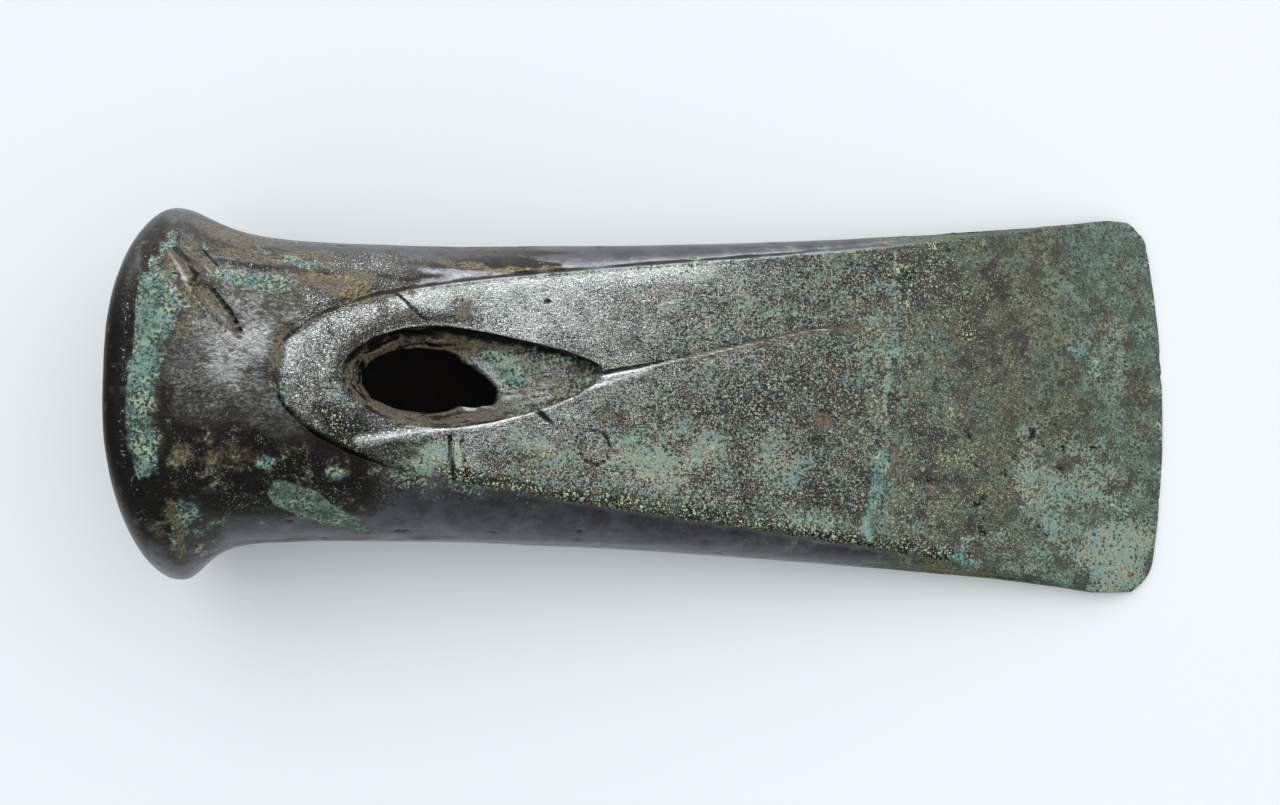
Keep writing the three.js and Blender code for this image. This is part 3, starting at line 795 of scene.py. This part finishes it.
def collar_finish(skin):
    """The collar: black roll, granular green strip along the crown, a painted shadow line where the roll
    overhangs the strip, a painted glint on the roll's edge, and a pitted dark tail below it.
    """
    left = np.interp(skin.across, STRIP_ACROSS, STRIP_LEFT) + 0.12 * skin.rough(0.9, 23, 2)
    right = np.interp(skin.across, STRIP_ACROSS, STRIP_RIGHT) + 0.3 * skin.rough(1.4, 27)
    middle = smooth_step((15 - np.abs(skin.across)) / 2) * skin.upper
    before, past = skin.station - left, right - skin.station
    inside = smooth_step((before + 0.15) / 0.3) * smooth_step((past + 0.5) / 1.1)
    inside *= smooth_step((skin.across + 11) / 2)
    inside *= middle
    roll = smooth_step((5.5 - skin.station - 0.1 * np.abs(skin.across)) / 1.5) * smooth_step((-before) / 0.5)
    front = smooth_step((1 - skin.station + mouth_lead(skin.across / 15, skin.height)) / 0.5)
    roll = np.maximum(roll, front)
    skin.tint("dark", 0.85 * roll)
    skin.tint("earth", 0.12 * roll + 0.08 * front)
    # Painted shadow along the strip, under the overhanging edge of the roll.
    undercut_shadow = np.exp(-((before + 0.35) / 0.3) ** 2) * middle
    skin.wipe(undercut_shadow, "bare_and_sheen", "earth")
    skin.tint("dark", undercut_shadow)
    skin.relief -= 0.18 * undercut_shadow
    # Painted glint on the edge of the roll beside the strip.
    glint = np.exp(-((before + 0.1) / 0.25) ** 2) * skin.blob(1.2, 4.3, 3, 4.5, soft=0.6)
    skin.tint("bare_and_sheen", glint)
    skin.wipe(0.75 * inside, "bare_and_sheen", "dark", "earth", "smooth")
    skin.tint("crust", inside * (0.85 + 0.3 * skin.rough(2.4, 33)))
    skin.relief += inside * (0.05 + 0.1 * skin.rough(0.8, 91))
    behind = np.exp(-((past + 0.9) / 1.0) ** 2) * middle * (1 - inside)
    skin.tint("olive", 0.6 * behind * smooth_step((skin.across + 1) / 4))
    skin.tint("dark", 0.85 * behind * smooth_step((1 - skin.across) / 4))
    streaks = smooth_step((rough(skin.places * (1, 0.25, 0.25), 0.9, 63) + 0.1) / 0.4)
    flare = skin.blob(5.6, -15.2, 5.5, 6.5, ragged=0.4, soft=1.2)
    skin.tint("earth", 0.6 * flare * streaks)
    skin.tint("crust", 0.42 * flare * (1 - streaks))
    skin.wipe(0.8 * flare, "smooth")
    skin.tint("dots", 0.5 * roll * np.exp(-((before + 0.6) / 0.5) ** 2) * middle)
    tail = skin.blob(4.0, -12.6, 5, 5.5, ragged=0.5, soft=1.2)
    skin.tint("dark", 0.9 * tail)
    skin.tint("crust", 0.14 * tail)
    skin.relief -= 0.06 * tail * (1 + skin.rough(0.9, 29))


def finish_skin(skin):
    """Gives the skin every finish in turn, the single marks last."""
    finishes = (cast_unevenness, neck_finish, side_finish, panel_finish, blade_finish, collar_finish,
                upper_marks)
    for finish in finishes:
        finish(skin)
    return skin


# Crusts on the wall of the worn drop, written as the patches are
HOLE_CRUSTS = ((37.2, 0.9, 2.2, 1.3, -30, 1.0), (34.9, 2.9, 1.5, 0.8, -20, 0.9),
               (43.6, 0.4, 2.2, 1.2, 10, 0.5), (40.4, -1.9, 3.0, 0.6, 14, 0.5),
               (40.5, 2.8, 3.4, 1.2, -12, 0.45), (37.6, -3.1, 2.4, 0.5, 8, 0.5))


def finish_hole(skin, angle, rows):
    """The wall of the worn drop: layers that follow its rim on three sides, a fan of streaks on its long
    floor, and painted shadow under its rim, deepest on the upper side."""
    first, last = rows
    down = np.clip((np.arange(len(skin.station)) - first + 1) / (last - first), 0, 1)[:, None] + 0 * angle
    fan = smooth_step(np.cos(angle) * 1.8 - 0.3)
    turning = np.stack([np.cos(angle) + 0 * down, np.sin(angle) + 0 * down], -1)
    waves = rough(np.concatenate([4 * turning, 3 * down[..., None]], -1), 1, 77)
    wavy = 9 * down[..., None] + 1.2 * waves[..., None]
    layered = rough(np.concatenate([3 * turning, wavy], -1), 1, 71)
    streaks = rough(np.concatenate([20 * turning, 5 * down[..., None]], -1), 1, 73)
    on_wall = smooth_step(down * 6) * smooth_step((1 - down) * 8)
    skin.relief += on_wall * mix(0.13 * layered, 0.05 * streaks, fan)
    inside = smooth_step(down * 10)
    skin.wipe(inside, *TINTS)
    pale = mix(layered, streaks, fan)
    upper_side = smooth_step(np.sin(angle) * 2 + 0.3)
    deep = mix(0.2, 0.3, upper_side)
    # Painted shadow under the rim, wider and stronger on the upper side.
    shadow_under_rim = np.exp(-((down - 0.1) / deep) ** 2) * mix(0.45, 1.0, upper_side) * inside
    skin.tint("earth", inside * (0.7 + 0.35 * pale) * (1 - 0.22 * fan))
    skin.tint("bare_and_sheen", inside * fan * smooth_step(down * 1.6 - 0.2) * (0.72 + 0.35 * pale))
    skin.wipe(0.3 * fan * smooth_step(streaks * 2 + 0.5), "earth")
    skin.tint("bloom", 0.5 * fan * inside)
    # Darkening of the wall: that painted shadow, together with the real dark layers.
    rim_shadow_and_dark_layers = np.maximum(shadow_under_rim, mix(0.7, 0.4, fan) * inside * smooth_step(-pale * 1.8 - 0.1))
    skin.wipe(0.85 * rim_shadow_and_dark_layers, "earth", "bare_and_sheen")
    skin.tint("dark", rim_shadow_and_dark_layers)
    skin.tint("crust", 0.3 * inside * fan * upper_side)
    worn = inside * skin.blob(35.4, 1.6, 4.5, 3.0, -30, soft=1)
    skin.wipe(worn, "dark", "earth")
    skin.tint("bare_and_sheen", 0.8 * worn)
    skin.tint("lip", 0.85 * inside * skin.blob(32.7, -2.4, 1.9, 0.9, soft=0.5))
    for *place, strength in HOLE_CRUSTS:
        share = inside * strength * skin.blob(*place, ragged=0.7, soft=1.0)
        skin.wipe(share, "dark", "bare_and_sheen")
        skin.tint("crust", share)
    # Painted shadow at the foot of the wall, where it opens into the socket.
    skin.tint("socket", smooth_step((down - 0.96) / 0.04))


def finish_socket(skin):
    """The socket's wall: rough, dark at the mouth and earthy further in, under a painted shadow that deepens
    over the first centimetre.
    """
    skin.relief += 0.09 * skin.rough(5, 83) + 0.04 * skin.rough(1.5, 89)
    soiled = smooth_step((skin.station - 3 + skin.rough(3, 97)) / 3)
    # Painted shadow inside the socket.
    skin.tint("socket", smooth_step((skin.station - 2) / 8))
    skin.tint("earth", 0.15 + 0.85 * soiled)
    skin.tint("dark", 1 - soiled)


def grid_triangles(numbers, hole=None):
    """Two triangles for each cell of a grid of vertex numbers with closed rows, but none in a window."""
    numbers = np.hstack([numbers, numbers[:, :1]])
    corners = np.stack([numbers[:-1, :-1], numbers[:-1, 1:], numbers[1:, 1:], numbers[1:, :-1]], -1)
    keep = np.ones(corners.shape[:2], bool)
    if hole:
        (first, last), (left, right) = hole
        keep[first:last, left:right] = False
    corners = corners[keep]
    return np.concatenate([corners[:, [0, 1, 2]], corners[:, [0, 2, 3]]])


def strip_triangles(upper, upper_place, lower, lower_place):
    """Triangles between two lines of vertices: each length of either line is joined to the vertex of the
    other that its far end has passed."""
    reached = np.searchsorted(lower_place[1:], upper_place[1:], side="left")
    first = np.stack([upper[:-1], upper[1:], lower[reached]], -1)
    reached = np.searchsorted(upper_place[1:], lower_place[1:], side="right")
    second = np.stack([lower[:-1], upper[reached], lower[1:]], -1)
    return np.concatenate([first, second])


def turn_of(row):
    """Angle of each place of a ring round the axis, rising from 0 to one turn."""
    angle = np.arctan2(row[:, 2], row[:, 1]) % (2 * math.pi)
    return np.append(np.where(np.arange(len(row)) == 0, 0, angle), 2 * math.pi)


def laid_down(places):
    """Tips the finished axe on to its collar and its edge, and wears flat what would lie under the ground:
    a turn about the line across the axe, then a clip to the box of the solid part."""
    collar = NECK_THICKNESS / 2 + COLLAR_OVERHANG_FACES
    tip = math.atan((collar - EDGE_THICKNESS / 2) / (AXE_LENGTH - COLLAR_CROWN))
    station, across, height = np.moveaxis(places, -1, 0)
    low, high = (np.array(corner) / MM for corner in cad_box)
    x = station * math.cos(tip) + height * math.sin(tip) - MIDDLE_STATION
    z = (AXE_LENGTH - station) * math.sin(tip) + (height + EDGE_THICKNESS / 2) * math.cos(tip) - REST_WEAR
    tipped = np.stack([x, across - MIDDLE_ACROSS, z], -1)
    return np.clip(tipped, low + [CLEARANCE, CLEARANCE, 0], high - CLEARANCE)


def closed_line(line):
    """A line of values that ends where it starts."""
    return np.append(line, line[0])


def make_axe():
    """Joins the outer skin, the hole and the socket into one closed mesh with its tints."""
    ring, inner_ring = Ring(*OUTER_COLUMNS), Ring(*SOCKET_COLUMNS)
    outer, socket = outer_skin(ring), socket_skin(inner_ring)
    outer_window = window(len(outer) - len(outer_stations()) + OUTER_WINDOW_START, ring.top)
    socket_window = window(SOCKET_MOUTH_ROWS, inner_ring.top)
    row, column = outer_rim = window_loop(*outer_window)
    socket_rim = window_loop(*socket_window)
    (first, last), (left, right) = outer_window
    angle = np.arctan2(1 - 2 * (column - left) / (right - left), 2 * (row - first) / (last - first) - 1)
    hole, wall_rows = hole_mesh(outer[outer_rim], socket[socket_rim], angle)

    outer_finish = finish_skin(Skin(outer, grid_normals(outer)))
    hole_finish = finish_skin(Skin(hole, grid_normals(hole)))
    finish_hole(hole_finish, angle, wall_rows)
    socket_finish = Skin(socket, -grid_normals(socket))
    finish_socket(socket_finish)
    skins = (outer_finish, hole_finish, socket_finish)
    moved = [skin.places + skin.normals * skin.relief[..., None] for skin in skins]
    tints = {name: [skin.tints[name] for skin in skins] for name in TINTS}
    for on_outer, on_hole, on_socket in (moved, *tints.values()):
        on_hole[0] = on_outer[outer_rim]
        on_hole[-1] = on_socket[socket_rim]
    moved[2][-1] = moved[2][-1].mean(0)

    counts = [grid.shape[0] * grid.shape[1] for grid in moved]
    starts = np.cumsum([0] + counts)
    blocks = zip(starts, counts, moved)
    outer_numbers, hole_numbers, socket_numbers = (
        start + np.arange(count).reshape(grid.shape[:2]) for start, count, grid in blocks)
    edge = closed_line(outer_numbers[-1])
    edge_place = -closed_line(moved[0][-1][:, 1])
    over = slice(None, ring.upper_count + 1)
    under = slice(None, ring.upper_count - 1, -1)
    triangles = np.concatenate([
        grid_triangles(outer_numbers, outer_window),
        grid_triangles(hole_numbers),
        grid_triangles(socket_numbers, socket_window)[:, ::-1],
        strip_triangles(closed_line(socket_numbers[0]), turn_of(socket[0]),
                        closed_line(outer_numbers[0]), turn_of(outer[0])),
        strip_triangles(edge[over], edge_place[over], edge[under], edge_place[under]),
    ])
    places = np.concatenate([grid.reshape(-1, 3) for grid in moved])
    values = {name: np.concatenate([part.ravel() for part in parts]) for name, parts in tints.items()}
    return closed_mesh("axe_head_casting", places, triangles, values)


def closed_mesh(name, places, triangles, values):
    """Merges vertices at one place, drops triangles that shrink to a line, and makes the mesh object."""
    keys = np.round(places, 5)
    _, kept, new = np.unique(keys, axis=0, return_index=True, return_inverse=True)
    triangles = new.ravel()[triangles]
    first, second, third = triangles.T
    triangles = triangles[(first != second) & (second != third) & (third != first)]
    used, triangles = np.unique(triangles, return_inverse=True)
    kept = kept[used]
    mesh = bpy.data.meshes.new(name)
    mesh.from_pydata(laid_down(places[kept]) * MM, [], triangles.reshape(-1, 3))
    mesh.polygons.foreach_set("use_smooth", np.ones(len(mesh.polygons), bool))
    for key, value in values.items():
        mesh.attributes.new(key, "FLOAT", "POINT").data.foreach_set("value", value[kept].astype(np.float32))
    mesh.update()
    made = bpy.data.objects.new(name, mesh)
    bpy.context.scene.collection.objects.link(made)
    return made


class Nodes:
    """Short words for making the nodes of one material."""

    def __init__(self, name):
        self.material = bpy.data.materials.new(name)
        self.material.use_nodes = True
        self.tree = self.material.node_tree
        self.shader = self.tree.nodes["Principled BSDF"]
        place = self.tree.nodes.new("ShaderNodeTexCoord").outputs["Object"]
        self.place = self.add("ShaderNodeMapping", {"Vector": place, "Scale": (1000, 1000, 1000)}).outputs[0]

    def add(self, kind, inputs=None, **settings):
        """A new node with its settings, and with each input linked or set to a value."""
        node = self.tree.nodes.new(kind)
        for key, value in settings.items():
            setattr(node, key, value)
        for key, value in (inputs or {}).items():
            if isinstance(value, bpy.types.NodeSocket):
                self.tree.links.new(value, node.inputs[key])
            else:
                node.inputs[key].default_value = value
        return node

    def tint(self, name):
        """A tint that the surface carries."""
        return self.add("ShaderNodeAttribute", attribute_name=name).outputs["Fac"]

    def noise(self, size, detail=3, roughness=0.6, stretch=1, shift=0):
        """Noise with a grain of so many millimetres, from 0 to 1, drawn out along the axe by the stretch."""
        place = self.add("ShaderNodeMapping", {"Vector": self.place, "Scale": (1 / stretch, 1, 1),
                                               "Location": (shift, shift, 0)}).outputs[0]
        return self.add("ShaderNodeTexNoise", {"Vector": place, "Scale": 1 / size, "Detail": detail,
                                               "Roughness": roughness}).outputs["Fac"]

    def dots(self, size, widest, share, shift=0):
        """Round dots, one in each cell of about so many millimetres, whose widths vary up to a part of the
        cell and shrink with the share."""
        place = self.add("ShaderNodeMapping", {"Vector": self.place, "Location": (shift, 0, 0)}).outputs[0]
        cells = self.add("ShaderNodeTexVoronoi", {"Vector": place, "Scale": 1 / size})
        width = self.times(self.maths("POWER", cells.outputs["Color"], 1.3), share)
        reach = self.maths("SUBTRACT", self.times(width, widest), cells.outputs["Distance"])
        return self.between(reach, -0.08, 0.08)

    def sums(self, *parts, shift=0.0):
        """Sum of values, each times its weight, and a shift."""
        total = shift
        for value, weight in parts:
            added = self.add("ShaderNodeMath", {0: value, 1: weight, 2: total}, operation="MULTIPLY_ADD")
            total = added.outputs[0]
        return total

    def maths(self, operation, first, second=0.0):
        """The outcome of one operation on two values."""
        return self.add("ShaderNodeMath", {0: first, 1: second}, operation=operation).outputs[0]

    def times(self, first, second):
        """The product of two values."""
        return self.maths("MULTIPLY", first, second)

    def between(self, value, low, high, start=0.0, end=1.0):
        """Maps a value from one range to another, smoothly and without passing its ends."""
        inputs = {"Value": value, "From Min": low, "From Max": high, "To Min": start, "To Max": end}
        return self.add("ShaderNodeMapRange", inputs, interpolation_type="SMOOTHSTEP").outputs["Result"]

    def patch(self, tint, edge, amount):
        """A tint whose border the edge noise breaks up, spread softly about one half."""
        return self.between(self.sums((tint, 1.0), (edge, amount)), 0.25, 0.75)

    def most(self, first, *others):
        """The largest of some shares."""
        for other in others:
            first = self.maths("MAXIMUM", first, other)
        return first

    def colours(self, share, first, second):
        """The first colour moved to the second by a share. Each is an output or three numbers."""
        made = self.add("ShaderNodeMix", {"Factor": share}, data_type="RGBA")
        for socket, colour in ((made.inputs[6], first), (made.inputs[7], second)):
            if isinstance(colour, bpy.types.NodeSocket):
                self.tree.links.new(colour, socket)
            else:
                socket.default_value = (*colour, 1)
        return made.outputs[2]

    def numbers(self, share, first, second):
        """The first value moved to the second by a share."""
        return self.add("ShaderNodeMix", {"Factor": share, 2: first, 3: second}).outputs[0]


# Colours of the metal and of what lies on it, as red, green and blue light. Pairs go from dark to light. The
# light end of the rubbed-metal pair is partly painted sheen, the white is painted glints, the worn grey of
# the lips is partly painted highlight, and the near black is black patina and painted shadow together.
BARE_METAL_AND_SHEEN = ((0.022, 0.02, 0.017), (0.31, 0.325, 0.32))
PAINTED_GLINT_WHITE = (0.5, 0.51, 0.5)
SLATE = ((0.04, 0.04, 0.045), (0.08, 0.082, 0.09))
TEAL = ((0.036, 0.066, 0.048), (0.16, 0.24, 0.182))
KHAKI = ((0.03, 0.03, 0.014), (0.21, 0.23, 0.135))
OLIVE = ((0.025, 0.023, 0.01), (0.13, 0.13, 0.065))
YELLOW_AND_GREEN_CHALK = ((0.38, 0.4, 0.28), (0.22, 0.33, 0.275))
BLACK_PATINA_AND_SHADOW = (0.009, 0.008, 0.007)
SOIL = ((0.03, 0.023, 0.012), (0.19, 0.156, 0.1))
GREEN_AND_YELLOW_CRUST = ((0.14, 0.28, 0.235), (0.4, 0.47, 0.32))
CRUST_SHADOW = (0.016, 0.028, 0.018)
FRESH_VERDIGRIS = (0.19, 0.325, 0.265)
PORE = (0.012, 0.011, 0.008)
WORN_METAL_AND_HIGHLIGHT = (0.31, 0.32, 0.31)
CUT_SHADOW = (0.006, 0.005, 0.004)
SOCKET_SHADOW = (0.01, 0.007, 0.005)


def bronze_material():
    """Patinated bronze: dark metal with a partly painted sheen and painted glints, green corrosion,
    turquoise crust, earth, pale dots and painted shadow.
    """
    make = Nodes("patinated_bronze")
    grain = make.noise(0.28, 3)
    fine = make.noise(0.15, 2)
    broken = make.noise(2.6, 9, 0.72)
    other = make.noise(1.7, 8, 0.72, shift=40)
    drift = make.noise(8, 7, 0.62)
    brushed = make.sums((make.noise(0.3, 4, 0.7, stretch=3), 0.5), shift=0.25)
    wander = make.maths("SUBTRACT", broken, 0.5)
    stray = make.maths("SUBTRACT", other, 0.5)
    smooth = make.patch(make.tint("smooth"), wander, 1.2)

    texture = make.numbers(make.tint("brushed"), fine, brushed)
    # Rubbed metal, lighter where it is worn and where sheen is painted.
    bare_and_sheen = make.sums((make.tint("bare_and_sheen"), 1.0), (texture, 2.2), (broken, 1.2), (grain, 0.6), shift=-2.18)
    metal = make.colours(make.between(bare_and_sheen, -0.1, 1.05), *BARE_METAL_AND_SHEEN)
    # Painted glints: small bright specks on the rubbed metal.
    painted_glints = make.times(make.between(fine, 0.6, 0.7), make.between(bare_and_sheen, 0.1, 0.9))
    metal = make.colours(painted_glints, metal, PAINTED_GLINT_WHITE)
    slate = make.colours(make.between(broken, 0.35, 0.65), *SLATE)
    colour = make.colours(smooth, metal, slate)

    green = make.patch(make.tint("green"), wander, 2.6)
    light = make.sums((grain, 0.6), (broken, 0.7), (other, 0.7), (fine, 0.7), shift=-0.9)
    light = make.between(light, 0.36, 0.64)
    khaki = make.colours(light, *KHAKI)
    teal = make.colours(light, *TEAL)
    teal_share = make.sums((drift, 1.4), (other, 0.5), (broken, 0.4), (make.tint("crust"), 0.6), shift=-0.2)
    mossy = make.colours(make.between(teal_share, 0.8, 1.15), khaki, teal)
    colour = make.colours(green, colour, mossy)
    olive = make.colours(make.between(grain, 0.35, 0.65), *OLIVE)
    colour = make.colours(make.patch(make.tint("olive"), wander, 2.4), colour, olive)

    bloom = make.sums((make.tint("bloom"), 0.8), (grain, 1.6), (other, 1.6), shift=-1.6)
    bloom = make.between(bloom, 0.3, 0.7)
    chalk = make.colours(make.between(other, 0.42, 0.58), *YELLOW_AND_GREEN_CHALK)
    colour = make.colours(make.times(bloom, 0.76), colour, chalk)
    # Near black: dark patina, and painted shadow under rims and overhangs.
    dark = make.patch(make.tint("dark"), wander, 2.0)
    colour = make.colours(make.times(dark, 0.92), colour, BLACK_PATINA_AND_SHADOW)
    earth = make.patch(make.tint("earth"), stray, 2.4)
    colour = make.colours(earth, colour, make.colours(make.between(grain, 0.3, 0.7), *SOIL))
    crust = make.patch(make.tint("crust"), stray, 2.2)
    verdigris = make.colours(make.between(other, 0.46, 0.62), *GREEN_AND_YELLOW_CRUST)
    raised = make.between(make.sums((grain, 0.75), (broken, 0.25)), 0.42, 0.58)
    verdigris = make.colours(raised, CRUST_SHADOW, verdigris)
    fresh = make.times(make.between(make.tint("crust"), 0.86, 1.0), make.between(other, 0.36, 0.56))
    verdigris = make.colours(make.times(fresh, 0.75), verdigris, FRESH_VERDIGRIS)
    colour = make.colours(crust, colour, verdigris)

    dots = make.between(make.sums((make.tint("dots"), 1), (wander, 2.0)), 0.05, 1.1)
    flecks = make.sums((make.noise(0.2, 1, shift=11), 1.0), (dots, 0.09))
    flecks = make.times(make.between(flecks, 0.68, 0.73), make.between(dots, 0.1, 0.5))
    dot = make.most(make.dots(0.28, 0.6, dots), make.dots(0.55, 0.45, dots), flecks)
    colour = make.colours(make.times(dot, 0.86), colour, chalk)
    pores = make.sums((make.most(green, make.tint("dots"), crust), 1), (stray, 2.5))
    pore = make.dots(0.4, 0.6, make.between(pores, 0.2, 1.2), 7)
    colour = make.colours(make.times(pore, 0.82), colour, PORE)
    # Pale grey lines: worn metal in scratches and gouges, and painted highlights on raised lips.
    lip = make.between(make.sums((make.tint("lip"), 1.0), (wander, 0.6)), 0.5, 0.9)
    colour = make.colours(lip, colour, WORN_METAL_AND_HIGHLIGHT)
    # Painted shadow in cuts and in the groove along the border.
    cut = make.between(make.sums((make.tint("cut"), 1.0), (wander, 0.5)), 0.55, 0.85)
    colour = make.colours(make.times(cut, 0.95), colour, CUT_SHADOW)
    # Painted shadow deep in the socket and at the bottom of the hole.
    socket = make.tint("socket")
    colour = make.colours(socket, colour, SOCKET_SHADOW)

    matte = make.most(green, make.tint("olive"), earth, crust, socket, dot, make.times(bloom, 0.8))
    shiny = make.times(make.maths("SUBTRACT", 1.0, matte), 0.95)
    metallic = make.most(shiny, make.times(make.most(dark, cut), 0.9), lip)
    gloss = make.numbers(smooth, make.between(grain, 0.35, 0.65, 0.28, 0.46), 0.32)
    height = make.sums((grain, 0.35), (fine, 0.3), (broken, 0.9), (other, 0.4), (dot, 0.3), (cut, -0.6),
                       (pore, -0.4))
    height = make.numbers(make.times(smooth, 0.8), height, 1.0)
    bump = make.add("ShaderNodeBump", {"Height": height, "Strength": 0.9, "Distance": 0.0004})
    make.tree.links.new(colour, make.shader.inputs["Base Color"])
    make.tree.links.new(metallic, make.shader.inputs["Metallic"])
    make.tree.links.new(make.numbers(matte, gloss, 0.75), make.shader.inputs["Roughness"])
    make.tree.links.new(bump.outputs["Normal"], make.shader.inputs["Normal"])
    make.shader.inputs["Specular IOR Level"].default_value = 0.3
    return make.material


def add_camera():
    """Stands back from its aim by the distance, pitched towards -Y and rolled a little."""
    pitch, roll = math.radians(CAMERA_PITCH), math.radians(CAMERA_ROLL)
    back = Vector((0, -math.sin(pitch), math.cos(pitch)))
    right = Vector((1, 0, 0))
    up = back.cross(right)
    camera = bpy.data.objects.new("camera", bpy.data.cameras.new("camera"))
    camera.data.lens = CAMERA_LENS
    camera.data.clip_start = 0.01
    sideways = right * math.cos(roll) + up * math.sin(roll)
    upward = up * math.cos(roll) - right * math.sin(roll)
    turned = Matrix((sideways, upward, back)).transposed().to_4x4()
    camera.matrix_world = Matrix.Translation(Vector(CAMERA_LOOKS_AT) + back * CAMERA_DISTANCE) @ turned
    bpy.context.scene.collection.objects.link(camera)
    bpy.context.scene.camera = camera


def add_softbox(name, place, size, watts, aim=(0, 0, 0)):
    """A square area light at a place, turned to its aim."""
    light = bpy.data.lights.new(name, "AREA")
    light.shape = "RECTANGLE"
    light.size, light.size_y = size
    light.energy = watts
    made = bpy.data.objects.new(name, light)
    direction = Vector(aim) - Vector(place)
    made.matrix_world = Matrix.Translation(place) @ direction.to_track_quat("-Z", "Y").to_matrix().to_4x4()
    bpy.context.scene.collection.objects.link(made)
    return made


def add_air():
    """Pale air all round, from grey at the horizon to white overhead."""
    world = bpy.data.worlds.new("studio_air")
    world.use_nodes = True
    nodes, links = world.node_tree.nodes, world.node_tree.links
    direction = nodes.new("ShaderNodeSeparateXYZ")
    links.new(nodes.new("ShaderNodeTexCoord").outputs["Generated"], direction.inputs[0])
    strength = nodes.new("ShaderNodeMapRange")
    strength.inputs["To Min"].default_value = 0.3
    strength.inputs["To Max"].default_value = 1.1
    links.new(direction.outputs["Z"], strength.inputs["Value"])
    links.new(strength.outputs["Result"], nodes["Background"].inputs["Strength"])
    nodes["Background"].inputs["Color"].default_value = (0.93, 0.97, 1, 1)
    bpy.context.scene.world = world


def add_studio():
    """Pale floor, pale air and three soft lights, two of which only show in reflections."""
    half = 3
    mesh = bpy.data.meshes.new("floor")
    corners = [(-half, -half, 0), (half, -half, 0), (half, half, 0), (-half, half, 0)]
    mesh.from_pydata(corners, [], [(0, 1, 2, 3)])
    floor = bpy.data.objects.new("floor", mesh)
    bpy.context.scene.collection.objects.link(floor)
    pale = bpy.data.materials.new("floor_white")
    pale.use_nodes = True
    shader = pale.node_tree.nodes["Principled BSDF"]
    shader.inputs["Base Color"].default_value = (0.79, 0.81, 0.83, 1)
    shader.inputs["Roughness"].default_value = 0.9
    shader.inputs["Specular IOR Level"].default_value = 0.1
    mesh.materials.append(pale)
    add_air()
    add_softbox("soft_light_above", (0.2, 0.3, 1.2), (1.8, 1.8), 9.4)
    for light in (add_softbox("gloss_light_key", (0.28, 0.26, 0.48), (0.24, 0.24), 2.6),
                  add_softbox("gloss_light_back", (0.0, 0.8, 0.2), (1.6, 0.5), 31.0, (0, 0, 0.02))):
        light.visible_diffuse = False
    bpy.context.scene.view_settings.view_transform = "Standard"


add_camera()
add_studio()
axe = make_axe()
axe.data.materials.append(bronze_material())
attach(axe, "root")
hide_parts("axe_head")
